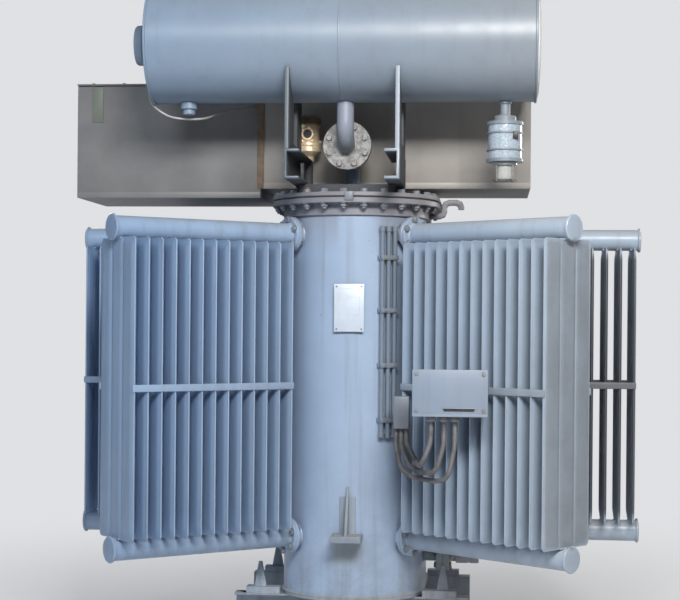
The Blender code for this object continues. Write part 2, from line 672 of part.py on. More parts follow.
def build_conservator(materials, parent):
    left, right = CONSERVATOR_LEFT, CONSERVATOR_RIGHT
    centre = Vector((0, CONSERVATOR_Y, CONSERVATOR_Z))
    drum = add_cylinder(centre + Vector((left + END_PLATE + SEAT_GAP, 0, 0)),
                        centre + Vector((right - END_PLATE - SEAT_GAP, 0, 0)), CONSERVATOR_RADIUS, DRUM_SIDES)
    make_object("conservator_drum", drum, materials["paint"], parent)
    rim = CONSERVATOR_RADIUS + END_RIM
    dish = [(0, 0), (rim, 0), (rim, END_PLATE),
            (CONSERVATOR_RADIUS * DISH_RADIUS, END_PLATE + END_DISH * DISH_SHARE), (GAUGE_RADIUS, END_PLATE + END_DISH), (0, END_PLATE + END_DISH)]
    for name, x, way in (("conservator_end_left", left + END_PLATE, -1),
                         ("conservator_end_right", right - END_PLATE, 1)):
        plate = aim(add_turned(dish, DRUM_SIDES), centre + Vector((x, 0, 0)), (way, 0, 0))
        make_object(name, plate, materials["paint"], parent)
    face = left - END_DISH - SEAT_GAP
    gauge = [(0, 0), (GAUGE_NECK, 0), (GAUGE_NECK, GAUGE_DEPTH * GAUGE_NECK_SHARE),
             (GAUGE_RADIUS, GAUGE_DEPTH * GAUGE_FLARE_SHARE), (GAUGE_RADIUS, GAUGE_DEPTH * GAUGE_BEZEL_SHARE),
             (GAUGE_RADIUS * GAUGE_GLASS, GAUGE_DEPTH), (0, GAUGE_DEPTH)]
    dial = aim(add_turned(gauge, 20), centre + Vector((face, 0, 0)), (-1, 0, 0))
    make_object("oil_level_gauge", dial, materials["paint"], parent)
    boss = [(0, 0), (DRAIN_RADII[0], 0), (DRAIN_RADII[0], DRAIN_LENGTHS[0]),
            (DRAIN_RADII[1], DRAIN_LENGTHS[0]), (DRAIN_RADII[1], sum(DRAIN_LENGTHS)), (0, sum(DRAIN_LENGTHS))]
    socket = aim(add_turned(boss, 12), (left + DRAIN_INSET, CONSERVATOR_Y, DRUM_UNDERSIDE), (0, 0, -1))
    make_object("conservator_drain", socket, materials["paint"], parent)


def build_supports(materials, parent):
    for name, y in (("support_bar_front", CROSS_BAR_FRONT), ("support_bar_rear", CROSS_BAR_BACK)):
        width, height = CROSS_BAR_SECTION
        reach = min(SUPPORT_SPACING / 2, wall_half_width(y - width, TANK_RADIUS + RIM_WIDTH) + SUPPORT_X)
        bar = add_box((SUPPORT_X - reach, y - width / 2, BAR_BOTTOM), (SUPPORT_X + reach, y + width / 2,
                                                                     BAR_BOTTOM + height))
        make_object(name, bar, materials["paint"], parent)
    for name, side in (("left", -1), ("right", 1)):
        x = SUPPORT_X + side * SUPPORT_SPACING / 2
        start, end = (x, CHANNEL_FRONT, CHANNEL_BOTTOM), (x, CHANNEL_BACK, CHANNEL_BOTTOM)
        channel = add_channel(CHANNEL_SECTION, start, end, side)
        inner = sorted((x - side * SEAT_GAP, x - side * SUPPORT_PLATE))
        front, back = CONSERVATOR_Y - SUPPORT_HALF_DEPTH, CONSERVATOR_Y + SUPPORT_HALF_DEPTH
        plate = add_box((inner[0], front, CHANNEL_TOP - WELD), (inner[1], back, CONSERVATOR_Z - SUPPORT_TOP))
        past = Vector((2 * SUPPORT_PLATE, 0, 0))
        drum = add_cylinder(Vector((inner[0], CONSERVATOR_Y, CONSERVATOR_Z)) - past,
                            Vector((inner[1], CONSERVATOR_Y, CONSERVATOR_Z)) + past, CONSERVATOR_RADIUS + SEAT_GAP,
                            DRUM_SIDES)
        window = add_box((inner[0] - past.x, CONSERVATOR_Y - SUPPORT_WINDOW, CHANNEL_TOP + SUPPORT_FOOT),
                         (inner[1] + past.x, CONSERVATOR_Y + SUPPORT_WINDOW, CONSERVATOR_Z))
        cut = to_solid(combine(plate, [drum, window], "DIFFERENCE"))
        make_joined(f"support_frame_{name}", [channel, cut], materials["paint"], parent)


def build_oil_pipe(materials, parent):
    """The pipe from the conservator, the gas relay, and the outlet elbow down to the cover."""
    top = Vector((PIPE_X, CONSERVATOR_Y, DRUM_UNDERSIDE))
    corner = Vector((PIPE_X, CONSERVATOR_Y, PIPE_RUN_Z))
    run = CONSERVATOR_Y + PIPE_BEND + PIPE_STRAIGHT
    flange_end = run + PIPE_FLANGE
    route = bend_points(top, corner, (PIPE_X, flange_end - WELD, PIPE_RUN_Z), PIPE_BEND, 4)
    solids = [add_pipe(route, PIPE_RADIUS, 12),
              add_cylinder((PIPE_X, run, PIPE_RUN_Z), (PIPE_X, flange_end, PIPE_RUN_Z), PIPE_FLANGE_RADIUS, 24)]
    make_joined("conservator_pipe", solids, materials["paint"], parent)
    begin = flange_end + SEAT_GAP
    end = begin + RELAY_LENGTH
    profile = [(0, 0), (PIPE_FLANGE_RADIUS, 0), (PIPE_FLANGE_RADIUS, PIPE_FLANGE), (RELAY_RADIUS, PIPE_FLANGE),
               (RELAY_RADIUS, RELAY_LENGTH - PIPE_FLANGE), (COVER_FLANGE_RADIUS, RELAY_LENGTH - PIPE_FLANGE),
               (COVER_FLANGE_RADIUS, RELAY_LENGTH), (0, RELAY_LENGTH)]
    middle = (begin + end) / 2
    solids = [aim(add_turned(profile, 20), (PIPE_X, begin, PIPE_RUN_Z), (0, 1, 0)),
              add_cylinder((PIPE_X, middle, PIPE_RUN_Z), (PIPE_X, middle, PIPE_RUN_Z + RELAY_DOME_TOP),
                           RELAY_DOME_RADIUS, 16)]
    make_joined("gas_relay", solids, materials["paint"], parent)
    start = end + SEAT_GAP
    corner = Vector((PIPE_X, start + PIPE_FLANGE / 2 + OUTLET_BEND, PIPE_RUN_Z))
    foot = COVER_TOP + SEAT_GAP
    route = bend_points((PIPE_X, start + WELD, PIPE_RUN_Z), corner, (corner.x, corner.y, foot + WELD), OUTLET_BEND, 4)
    solids = [add_pipe(route, PIPE_RADIUS, 12),
              add_cylinder((PIPE_X, start, PIPE_RUN_Z), (PIPE_X, start + PIPE_FLANGE / 2, PIPE_RUN_Z),
                           COVER_FLANGE_RADIUS, 16),
              add_cylinder((corner.x, corner.y, foot), (corner.x, corner.y, foot + COVER_FLANGE), PIPE_RADIUS + 0.010,
                           16)]
    make_joined("relay_outlet_pipe", solids, materials["paint"], parent)


def build_relief_valve(materials, parent):
    """A neck on the cover, a turned base, a narrower waist and a crowned cap."""
    foot = COVER_TOP + SEAT_GAP
    low = COVER_TOP + RELIEF_RISE
    top = low + RELIEF_HEIGHT
    waist = RELIEF_RADIUS * RELIEF_WAIST
    profile = [(0, foot), (RELIEF_FLANGE_RADIUS, foot), (RELIEF_FLANGE_RADIUS, foot + COVER_FLANGE),
               (RELIEF_NECK, foot + COVER_FLANGE), (RELIEF_NECK, low), (RELIEF_RADIUS, low + RELIEF_CHAMFER),
               (RELIEF_RADIUS, low + RELIEF_BASE), (waist, low + RELIEF_BASE + RELIEF_CHAMFER),
               (waist, top - RELIEF_CAP - RELIEF_CHAMFER), (RELIEF_RADIUS, top - RELIEF_CAP),
               (RELIEF_RADIUS, top - RELIEF_CROWN), (RELIEF_RADIUS * RELIEF_CROWN_SHARE, top), (0, top)]
    solid = add_turned(profile, 16)
    bmesh.ops.translate(solid, vec=(RELIEF_X, RELIEF_Y, 0), verts=solid.verts)
    make_object("pressure_relief_valve", solid, materials["brass"], parent)


def build_breather(materials, parent):
    """Hanging pipe and cap, glass body between rings, and the oil cup below."""
    place = (CONSERVATOR_RIGHT - BREATHER_INSET, CONSERVATOR_Y, DRUM_UNDERSIDE)
    cap_end = BREATHER_PIPE + BREATHER_CAP
    pipe = [(0, 0), (BREATHER_PIPE_RADIUS, 0), (BREATHER_PIPE_RADIUS, BREATHER_PIPE),
            (BREATHER_CAP_RADIUS, BREATHER_PIPE), (BREATHER_CAP_RADIUS, cap_end), (0, cap_end)]
    body_start = cap_end + SEAT_GAP
    body_end = body_start + BREATHER_GLASS
    glass = BREATHER_RADIUS - BREATHER_STEP
    body = [(0, body_start), (BREATHER_RADIUS, body_start), (BREATHER_RADIUS, body_start + BREATHER_RING),
            (glass, body_start + BREATHER_RING), (glass, body_end - BREATHER_RING),
            (BREATHER_RADIUS, body_end - BREATHER_RING), (BREATHER_RADIUS, body_end), (0, body_end)]
    cup_start = body_end + SEAT_GAP
    cup_end = cup_start + BREATHER_CUP
    bowl = BREATHER_CUP_RADIUS * BREATHER_CUP_SHARE
    cup = [(0, cup_start), (BREATHER_CUP_RADIUS, cup_start), (BREATHER_CUP_RADIUS, cup_start + BREATHER_RING),
           (bowl, cup_start + BREATHER_RING), (bowl, cup_end - BREATHER_CUP_ROUND),
           (BREATHER_CUP_RADIUS * BREATHER_CUP_FOOT, cup_end), (0, cup_end)]
    for name, profile, finish in (("breather_pipe", pipe, "paint"), ("breather_body", body, "glass"),
                                  ("breather_oil_cup", cup, "paint")):
        make_object(name, aim(add_turned(profile, 16), place, (0, 0, -1)), materials[finish], parent)


def build_terminal_box(materials, parent):
    foot = COVER_TOP + SEAT_GAP
    middle = (BOX_FRONT + BOX_BACK) / 2
    throat = add_box((-THROAT_LENGTH / 2, middle - THROAT_WIDTH / 2, foot),
                     (THROAT_LENGTH / 2, middle + THROAT_WIDTH / 2, BOX_BOTTOM - SEAT_GAP))
    make_object("terminal_box_throat", throat, materials["sheet"], parent)
    lid_bottom = BOX_TOP - BOX_LID
    body = add_box((BOX_LEFT, BOX_FRONT, BOX_BOTTOM), (BOX_RIGHT, BOX_BACK, lid_bottom - SEAT_GAP))
    make_object("terminal_box", body, materials["sheet"], parent)
    cable_right = BOX_LEFT - SEAT_GAP
    solids = [add_box((CABLE_BOX_LEFT, BOX_FRONT, CABLE_BOX_BOTTOM), (cable_right, BOX_BACK, lid_bottom - SEAT_GAP))]
    make_object("cable_box", solids[0], materials["sheet"], parent)
    for name, left, right in (("terminal_box_lid", BOX_LEFT + SEAT_GAP, BOX_RIGHT + BOX_LID_LIP),
                              ("cable_box_lid", CABLE_BOX_LEFT, BOX_LEFT - SEAT_GAP)):
        lid = add_box((left, BOX_FRONT - BOX_LID_LIP, lid_bottom), (right, BOX_BACK + BOX_LID_LIP, BOX_TOP))
        make_object(name, lid, materials["sheet"], parent)


def stay_face(x):
    """Where the front face of the front right radiator's stay lies, at a place across the tank."""
    angle = radians(CORNER_ANGLE)
    out = FIN_WIDTH / 2 + STAY_THICKNESS
    return FRONT_CENTRE - (x + out * sin(angle)) * tan(angle) - out * cos(angle)


def build_control_box(materials, parent):
    right = CONTROL_LEFT + CONTROL_WIDTH
    face = CONTROL_BACK - CONTROL_DEPTH
    for name, place in zip(("control_box_arm_left", "control_box_arm_right"), ARM_PLACES):
        x = (CONTROL_LEFT + place, CONTROL_LEFT + place + ARM_THICKNESS)
        start = CONTROL_BACK + SEAT_GAP
        outline = [(x[0], start), (x[1], start), (x[1], stay_face(x[1]) - 2 * SEAT_GAP),
                   (x[0], stay_face(x[0]) - 2 * SEAT_GAP)]
        arm = add_prism(outline, STAY_HEIGHT - ARM_HEIGHT / 2, STAY_HEIGHT + ARM_HEIGHT / 2)
        make_object(name, arm, materials["paint"], parent)
    solids = [add_box((CONTROL_LEFT, face + SEAT_GAP, CONTROL_BOTTOM), (right, CONTROL_BACK, CONTROL_TOP))]
    for place in GLAND_PLACES:
        x, y = CONTROL_LEFT + place, CONTROL_BACK - GLAND_SETBACK
        solids.append(add_cylinder((x, y, CONTROL_BOTTOM + WELD), (x, y, CONTROL_BOTTOM - GLAND_LENGTH),
                                   GLAND_RADIUS, 12))
    make_joined("control_box", solids, materials["paint"], parent)
    lid = add_box((CONTROL_LEFT - CONTROL_LIP, face - CONTROL_LID, CONTROL_BOTTOM - CONTROL_LIP),
                  (right + CONTROL_LIP, face, CONTROL_TOP + CONTROL_LIP))
    make_object("control_box_lid", lid, materials["paint"], parent)


def build_junction_box(materials, parent):
    """A small box where the conduits end, held off the tank's wall by a flat plate."""
    width, depth, height = JUNCTION_SIZE
    box = add_box((JUNCTION_LEFT, JUNCTION_BACK - depth, JUNCTION_BOTTOM),
                  (JUNCTION_LEFT + width, JUNCTION_BACK, JUNCTION_TOP))
    x = JUNCTION_LEFT + BRACKET_PLACE
    middle = (JUNCTION_BOTTOM + JUNCTION_TOP) / 2
    plate = add_box((x, JUNCTION_BACK - WELD, middle - BRACKET_HEIGHT / 2),
                    (x + BRACKET_THICKNESS, FRONT_CENTRE, middle + BRACKET_HEIGHT / 2))
    fused = to_solid(combine(box, [plate]))
    cut = combine(fused, [add_oval(TANK_RADIUS + SEAT_GAP, FLOOR_BOTTOM, WALL_TOP)], "DIFFERENCE")
    make_object("junction_box", to_solid(cut), materials["paint"], parent)


def riser_point(number, level):
    """The middle of one riser tube: number -1, 0 or 1 across the wall."""
    angle = radians(RISER_ANGLE) + number * RISER_PITCH / (TANK_RADIUS + RISER_OFFSET)
    out = TANK_RADIUS + RISER_OFFSET
    return Vector((out * sin(angle), FRONT_CENTRE - out * cos(angle), level))


def build_riser(materials, parent):
    tubes = [add_cylinder(riser_point(n, RISER_BOTTOM), riser_point(n, RISER_TOP), RISER_TUBE, 6) for n in (-1, 0, 1)]
    straps = []
    angle = radians(RISER_ANGLE)
    half = CLAMP_REACH * RISER_PITCH
    for share in CLAMP_SHARES:
        level = RISER_BOTTOM + share * (RISER_TOP - RISER_BOTTOM)
        strap = add_box((-half, -RISER_TUBE - CLAMP_THICKNESS, -CLAMP_HEIGHT / 2),
                        (half, RISER_OFFSET + CLAMP_BITE, CLAMP_HEIGHT / 2))
        turn = Matrix.Translation(riser_point(0, level)) @ Matrix.Rotation(angle, 4, "Z")
        bmesh.ops.transform(strap, matrix=turn, verts=strap.verts)
        straps.append(strap)
    fused = to_solid(combine(tubes[0], tubes[1:] + straps))
    cut = combine(fused, [add_oval(TANK_RADIUS + SEAT_GAP, FLOOR_BOTTOM, WALL_TOP)], "DIFFERENCE")
    make_object("conduit_riser", to_solid(cut), materials["conduit"], parent)


def smooth_route(points, step):
    """Points about one step apart on a smooth curve through the given points."""
    points = [Vector(point) for point in points]
    padded = [points[0] * 2 - points[1], *points, points[-1] * 2 - points[-2]]
    result = []
    for before, a, b, after in zip(padded, padded[1:], padded[2:], padded[3:]):
        count = max(round((b - a).length / step), 1)
        for number in range(count):
            t = number / count
            result.append(0.5 * (2 * a + (b - before) * t + (2 * before - 5 * a + 4 * b - after) * t**2
                                 + (3 * a - before - 3 * b + after) * t**3))
    return [*result, points[-1]]


def make_cord(name, route, radius, material, parent):
    curve = bpy.data.curves.new(name, "CURVE")
    curve.dimensions = "3D"
    curve.bevel_depth = radius
    curve.bevel_resolution = 2
    curve.use_fill_caps = True
    points = smooth_route(route, radius * 5)
    spline = curve.splines.new("POLY")
    spline.points.add(len(points) - 1)
    for target, point in zip(spline.points, points):
        target.co = (*point, 1.0)
    item = bpy.data.objects.new(name, curve)
    curve.materials.append(material)
    bpy.context.collection.objects.link(item)
    item.parent = parent
    return item


def build_conduits(materials, parent):
    """Flexible conduits that hang in nested loops from the control box to the junction box."""
    front, back = CONTROL_BACK - GLAND_SETBACK, JUNCTION_BACK - JUNCTION_SETBACK
    high = CONTROL_BOTTOM - GLAND_LENGTH - SEAT_GAP
    entry = JUNCTION_BOTTOM - SEAT_GAP
    span = back - front
    for number, (gland, place, sag) in enumerate(zip(GLAND_PLACES, JUNCTION_PLACES, CONDUIT_SAGS), 1):
        start, end = CONTROL_LEFT + gland, JUNCTION_LEFT + place
        middle = (start + end) / 2
        low = entry - sag
        drop, rise = high - low, entry - low
        route = [(start, front, high), (start, front, high - 0.23 * drop),
                 (start - 0.004, front + 0.01 * span, low + 0.50 * drop),
                 (start - 0.030, front + 0.10 * span, low + 0.08 * drop), (middle, front + 0.51 * span, low),
                 (end + 0.030, back - 0.15 * span, low + 0.11 * rise),
                 (end + 0.004, back - 0.02 * span, low + 0.50 * rise), (end, back, entry - 0.28 * rise),
                 (end, back, entry)]
        make_cord(f"flexible_conduit_{number}", route, CONDUIT_RADIUS, materials["conduit"], parent)


def build_valves(materials, parent):
    """The drain valve low on the right-hand side, and the bent vent pipe on the rim's collar."""
    profile = [(0, 0), (VALVE_NECK, 0), (VALVE_NECK, VALVE_FLANGE_START), (VALVE_FLANGE_RADIUS, VALVE_FLANGE_START),
               (VALVE_FLANGE_RADIUS, VALVE_FLANGE_END), (VALVE_NECK, VALVE_FLANGE_END), (VALVE_NECK, VALVE_BODY),
               (VALVE_NECK * VALVE_HANDLE, VALVE_BODY), (VALVE_NECK * VALVE_HANDLE, VALVE_REACH), (0, VALVE_REACH)]
    place = (TANK_RADIUS + SEAT_GAP, VALVE_Y, VALVE_Z)
    make_object("drain_valve", aim(add_turned(profile, 12), place, (1, 0, 0)), materials["paint"], parent)
    start = Vector((TANK_RADIUS + COLLAR_WIDTH + SEAT_GAP, VENT_Y, VENT_Z))
    low = Vector((TANK_RADIUS + VENT_OUT, VENT_Y, VENT_Z))
    high = low + Vector((0, 0, VENT_RISE))
    out = Vector((TANK_RADIUS + VENT_REACH, VENT_Y, high.z))
    route = [start, *bend_points(start, low, high, VENT_BEND, 2)[1:-1], *bend_points(low, high, out, VENT_BEND, 2)[1:-1],
             *bend_points(high, out, out - Vector((0, 0, VENT_DROP)), VENT_BEND, 2)[1:]]
    make_object("vent_pipe", add_pipe(route, VENT_RADIUS, 8), materials["paint"], parent)


def build_gauge_lead(materials, parent):
    """The thin lead from the oil gauge, sagging under the conservator to the cable box."""
    neck = CONSERVATOR_LEFT - END_DISH - SEAT_GAP - GAUGE_DEPTH * GAUGE_NECK_SHARE * 0.6
    start = Vector((neck, CONSERVATOR_Y, CONSERVATOR_Z - GAUGE_NECK - SEAT_GAP))
    end = Vector((BOX_LEFT - LEAD_INSET, BOX_FRONT - SEAT_GAP, BOX_TOP - LEAD_DROP))
    corner = Vector((CONSERVATOR_LEFT, CONSERVATOR_Y, CONSERVATOR_Z - CONSERVATOR_RADIUS - END_RIM))
    bends = [(-0.018, 0.0, 0.0585), (-0.0105, 0.0, 0.0065), (0.036, 0.005, -0.0335), (0.0895, 0.015, -0.0485),
             (0.169, 0.045, -0.0445), (0.2224, 0.105, -0.0145), (0.2724, 0.195, 0.0095)]
    route = [start, start - Vector((0, 0, 0.047)), *[corner + Vector(bend) for bend in bends],
             end - Vector((0, 0.0247, 0.001)), end]
    make_cord("gauge_lead", route, LEAD_RADIUS, materials["conduit"], parent)


def build_transformer():
    clear_scene()
    materials = make_materials()
    root = bpy.data.objects.new("transformer", None)
    bpy.context.collection.objects.link(root)
    for build in (build_base, build_tank, build_radiators, build_wall_fittings, build_conservator,
                  build_supports, build_oil_pipe, build_relief_valve, build_breather, build_terminal_box,
                  build_control_box, build_junction_box, build_riser, build_conduits, build_valves, build_gauge_lead):
        build(materials, root)


build_transformer()
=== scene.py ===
"""Looks of the oil-filled power transformer: oval tank, panel radiators, conservator, terminal box.

Metres, +Z up. Seen from the tank's rounded front, X runs to the right and Y to the back.
"""
from math import atan2, copysign, cos, pi, radians, sin, sqrt

import bmesh
import bpy
from mathutils import Matrix, Vector


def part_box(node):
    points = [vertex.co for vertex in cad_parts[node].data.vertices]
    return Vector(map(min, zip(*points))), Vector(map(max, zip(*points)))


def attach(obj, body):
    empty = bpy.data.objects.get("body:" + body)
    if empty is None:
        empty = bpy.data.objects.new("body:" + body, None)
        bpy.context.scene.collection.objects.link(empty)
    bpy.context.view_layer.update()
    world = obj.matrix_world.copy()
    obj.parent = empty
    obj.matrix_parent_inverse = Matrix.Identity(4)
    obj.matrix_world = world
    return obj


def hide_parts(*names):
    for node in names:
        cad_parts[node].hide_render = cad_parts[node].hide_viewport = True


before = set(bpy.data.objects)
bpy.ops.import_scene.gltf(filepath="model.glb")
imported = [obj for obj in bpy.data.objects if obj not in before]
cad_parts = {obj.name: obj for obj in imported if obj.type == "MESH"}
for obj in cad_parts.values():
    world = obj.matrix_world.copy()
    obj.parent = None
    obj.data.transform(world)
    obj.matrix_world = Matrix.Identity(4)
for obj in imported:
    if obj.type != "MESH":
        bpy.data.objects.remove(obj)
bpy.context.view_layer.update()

# Camera. A long lens at eye height in front of the tank, a little to the right of its middle and
# turned back towards it. The picture is set slightly low and leans by half a degree.
EYE = (0.4874, -5.919, 1.17)
EYE_TURN = radians(5.38)
EYE_ROLL = radians(0.475)
PICTURE_WIDTH = 680
PICTURE_HEIGHT = 600
HORIZON_ROW = 321.07
FOCAL_PIXELS = 1603.5
SENSOR = 36.0

lens = bpy.data.cameras.new("camera")
lens.sensor_width = SENSOR
lens.lens = FOCAL_PIXELS * SENSOR / PICTURE_WIDTH
lens.shift_y = (HORIZON_ROW - PICTURE_HEIGHT / 2) / PICTURE_WIDTH
camera = bpy.data.objects.new("camera", lens)
camera.matrix_world = (Matrix.Translation(EYE) @ Matrix.Rotation(EYE_TURN, 4, "Z")
                       @ Matrix.Rotation(pi / 2, 4, "X") @ Matrix.Rotation(EYE_ROLL, 4, "Z"))
bpy.context.collection.objects.link(camera)
bpy.context.scene.camera = camera
bpy.context.scene.view_settings.view_transform = "Standard"


# Shader sums. A Shade is one socket of a material: sums and products of Shades add Math nodes,
# and Finish.add makes any other node from its type, its settings and its sockets' values.
class Shade:
    def __init__(self, finish, socket):
        self.finish = finish
        self.socket = socket

    def sum(self, operation, first, second, third=0.0, clamp=False):
        values = {0: first, 1: second, 2: third}
        return self.finish.add("Math", values, operation=operation, use_clamp=clamp)

    def __add__(self, other):
        return self.sum("ADD", self, other)

    def __sub__(self, other):
        return self.sum("SUBTRACT", self, other)

    def __rsub__(self, other):
        return self.sum("SUBTRACT", other, self)

    def __mul__(self, other):
        return self.sum("MULTIPLY", self, other)

    def above(self, low, high):
        """0 below low and 1 over high, with an even climb between."""
        return self.sum("MULTIPLY_ADD", self, 1 / (high - low), low / (low - high), clamp=True)

    def between(self, rise, fall):
        """1 between two edges, each a (low, high) pair over which it climbs or sinks."""
        return self.above(*rise) * (1.0 - self.above(*fall))

    __radd__ = __add__
    __rmul__ = __mul__


class Finish:
    def __init__(self, name, roughness=0.5, metallic=0.0):
        self.material = bpy.data.materials.new(name)
        self.material.use_nodes = True
        self.tree = self.material.node_tree
        self.shader = self.tree.nodes["Principled BSDF"]
        self.set(roughness=roughness, metallic=metallic)
        self.place = self.add("TexCoord", {}, out="Object")

    def feed(self, target, value):
        if isinstance(value, Shade):
            self.tree.links.new(value.socket, target)
        elif isinstance(value, tuple) and target.type == "RGBA":
            target.default_value = (*value, 1.0)
        else:
            target.default_value = value

    def add(self, kind, sockets, out=0, **settings):
        node = self.tree.nodes.new(f"ShaderNode{kind}")
        for key, value in settings.items():
            setattr(node, key, value)
        for key, value in sockets.items():
            self.feed(node.inputs[key], value)
        return Shade(self, node.outputs[out])

    def noise(self, scale, detail=3.0, stretch=(1.0, 1.0, 1.0), rough=0.55):
        place = self.add("Mapping", {"Vector": self.place, "Scale": stretch})
        sockets = {"Vector": place, "Scale": scale, "Detail": detail, "Roughness": rough}
        return self.add("TexNoise", sockets)

    def blend(self, share, first, second, **settings):
        return self.add("Mix", {0: share, 6: first, 7: second}, out=2, data_type="RGBA", **settings)

    def tint(self, tone, shade):
        return self.blend(1.0, tone, shade, blend_type="MULTIPLY")

    def upward(self):
        """How far the surface faces up, from -1 to 1."""
        normal = self.add("NewGeometry", {}, out="Normal")
        return self.add("SeparateXYZ", {0: normal}, out="Z")

    def along(self, axis):
        return self.add("SeparateXYZ", {0: self.place}, out=axis)

    def set(self, **sockets):
        for key, value in sockets.items():
            self.feed(self.shader.inputs[key.replace("_", " ").title()], value)

    def bump(self, height, distance):
        self.set(normal=self.add("Bump", {"Height": height, "Distance": distance, "Strength": 1.0}))


def as_mesh(solid, name="part"):
    """Mesh data from a bmesh, which is used up."""
    mesh = bpy.data.meshes.new(name)
    solid.to_mesh(mesh)
    solid.free()
    return mesh


# Studio. A pale floor that fades into an even pale surround. A broad soft lamp and a narrow one
# hang in front and above, a weak cool one stands at the left, and two light the back.
SURROUND = (0.74, 0.75, 0.77)
FLOOR_HALF = 40.0
FLOOR_FADE = (0.9, 4.5)
LAMPS = (
    ("key_lamp", (1.0, -4.1, 3.35), (1.9, 0.8), 205.0, (1.0, 0.985, 0.955)),
    ("strip_lamp", (-1.2, -5.6, 3.7), (2.4, 0.5), 62.0, (0.84, 0.92, 1.0)),
    ("left_lamp", (-5.4, -3.4, 2.9), (2.6, 2.6), 26.0, (0.66, 0.83, 1.0)),
    ("right_lamp", (4.4, 4.2, 3.2), (2.4, 2.6), 150.0, (1.0, 0.97, 0.93)),
    ("back_lamp", (-3.4, 4.9, 3.9), (3.0, 2.4), 190.0, (1.0, 1.0, 1.0)),
)
LAMP_AIM = Vector((0.0, 0.0, 1.25))
AMBIENT = 0.19


def light_studio():
    for name, place, size, power, colour in LAMPS:
        lamp = bpy.data.lights.new(name, "AREA")
        lamp.shape = "RECTANGLE"
        lamp.size, lamp.size_y = size
        lamp.energy = power
        lamp.color = colour
        item = bpy.data.objects.new(name, lamp)
        item.location = place
        item.rotation_euler = (LAMP_AIM - Vector(place)).to_track_quat("-Z", "Y").to_euler()
        bpy.context.collection.objects.link(item)
    world = bpy.data.worlds.new("studio")
    world.use_nodes = True
    bpy.context.scene.world = world
    nodes, links = world.node_tree.nodes, world.node_tree.links
    surround = nodes["Background"]
    surround.inputs["Color"].default_value = (*SURROUND, 1.0)
    rays = nodes.new("ShaderNodeLightPath")
    seen = nodes.new("ShaderNodeMath")
    seen.operation = "MAXIMUM"
    links.new(rays.outputs["Is Camera Ray"], seen.inputs[0])
    links.new(rays.outputs["Is Transmission Ray"], seen.inputs[1])
    strength = nodes.new("ShaderNodeMapRange")
    strength.inputs["To Min"].default_value = AMBIENT
    links.new(seen.outputs[0], strength.inputs["Value"])
    links.new(strength.outputs[0], surround.inputs["Strength"])


def lay_floor():
    solid = bmesh.new()
    bmesh.ops.create_grid(solid, x_segments=1, y_segments=1, size=FLOOR_HALF)
    mesh = as_mesh(solid, "studio_floor")
    floor = bpy.data.objects.new("studio_floor", mesh)
    bpy.context.collection.objects.link(floor)
    finish = Finish("pale_floor", roughness=0.85)
    finish.set(base_color=SURROUND)
    glow = finish.add("Emission", {"Color": SURROUND, "Strength": 1.0})
    flat = finish.add("VectorMath", {0: finish.place, 1: (1.0, 1.0, 0.0)}, operation="MULTIPLY")
    away = finish.add("VectorMath", {0: flat}, out="Value", operation="LENGTH").above(*FLOOR_FADE)
    away = away * away * (3.0 - 2.0 * away)
    seen = finish.add("LightPath", {}, out="Is Camera Ray")
    sheen = Shade(finish, finish.shader.outputs[0])
    faded = finish.add("MixShader", {0: away * seen, 1: sheen, 2: glow})
    finish.feed(finish.tree.nodes["Material Output"].inputs["Surface"], faded)
    mesh.materials.append(finish.material)


light_studio()
lay_floor()


# Paint. Brushed-on light blue-grey enamel over plate and pressed sheet: uneven in tone, dusty
# where it faces up, streaked down the walls and chipped to rust in small spots, with painted light
# across it, bluer on the left and warmer on the right. Bare and cast parts have a plain finish of
# two tones.
PAINT = (0.345, 0.430, 0.565)
PAINT_DARK = (0.225, 0.280, 0.370)
DUST = (0.36, 0.345, 0.32)
GRIME = (0.115, 0.105, 0.095)
RUST = (0.175, 0.072, 0.030)
# Painted light: a cool tint on the left and a warm one on the right, over this span either side of the
# middle.
PAINTED_LIGHT = ((0.88, 1.0, 1.12), (1.06, 1.0, 0.93))
PAINTED_LIGHT_SPAN = 0.7
SPLASH_HEIGHT = (0.20, 0.75)


def enamel(name, colour=PAINT, dark=PAINT_DARK, streaks=0.32, rust=0.5, dust=0.55, wave=0.0009,
           gloss=0.34, light_tints=PAINTED_LIGHT, span=PAINTED_LIGHT_SPAN, marks=()):
    """Enamel tinted from left to right between the two colours of light_tints, a painted light.
    Each of marks is a function that lays one more mark over the tone, such as painted shade, and
    gives what it adds to the roughness."""
    finish = Finish(name)
    broad = finish.noise(2.3, 4.0).above(0.34, 0.68)
    cloud = finish.noise(11.0, 6.0, rough=0.65).above(0.38, 0.75)
    runs = finish.noise(26.0, 3.0, stretch=(1.0, 1.0, 0.035)).above(0.52, 0.78)
    tone = finish.blend(broad * 0.38, colour, dark)
    tone = finish.blend(cloud * 0.20, tone, dark)
    tone = finish.blend(runs * streaks, tone, GRIME)
    up = finish.upward().above(0.35, 0.95)
    settled = up * (0.45 + 0.55 * finish.noise(14.0, 5.0).above(0.35, 0.7)) * dust
    tone = finish.blend(settled, tone, DUST)
    low = 1.0 - finish.along("Z").above(*SPLASH_HEIGHT)
    splash = low * finish.noise(8.0, 6.0, rough=0.7).above(0.42, 0.72) * 0.42
    tone = finish.blend(splash, tone, GRIME)
    spots = finish.noise(85.0, 3.0, rough=0.7).above(0.665, 0.70)
    spots = spots * finish.noise(5.0, 3.0).above(0.46, 0.60) * rust
    tone = finish.blend(spots, tone, RUST)
    light_ramp = finish.along("X").above(-span, span)
    tone = finish.tint(tone, finish.blend(light_ramp, *light_tints))
    for mark in marks:
        tone, rougher = mark(finish, tone, cloud, light_ramp)
        gloss = gloss + rougher
    dull = 0.10 * cloud + 0.34 * settled + 0.35 * spots + 0.1 * splash
    finish.set(base_color=tone, roughness=gloss + dull)
    finish.bump(finish.noise(230.0, 2.0) * 0.06 + finish.noise(7.0, 2.0) - 0.3 * spots, wave)
    return finish.material


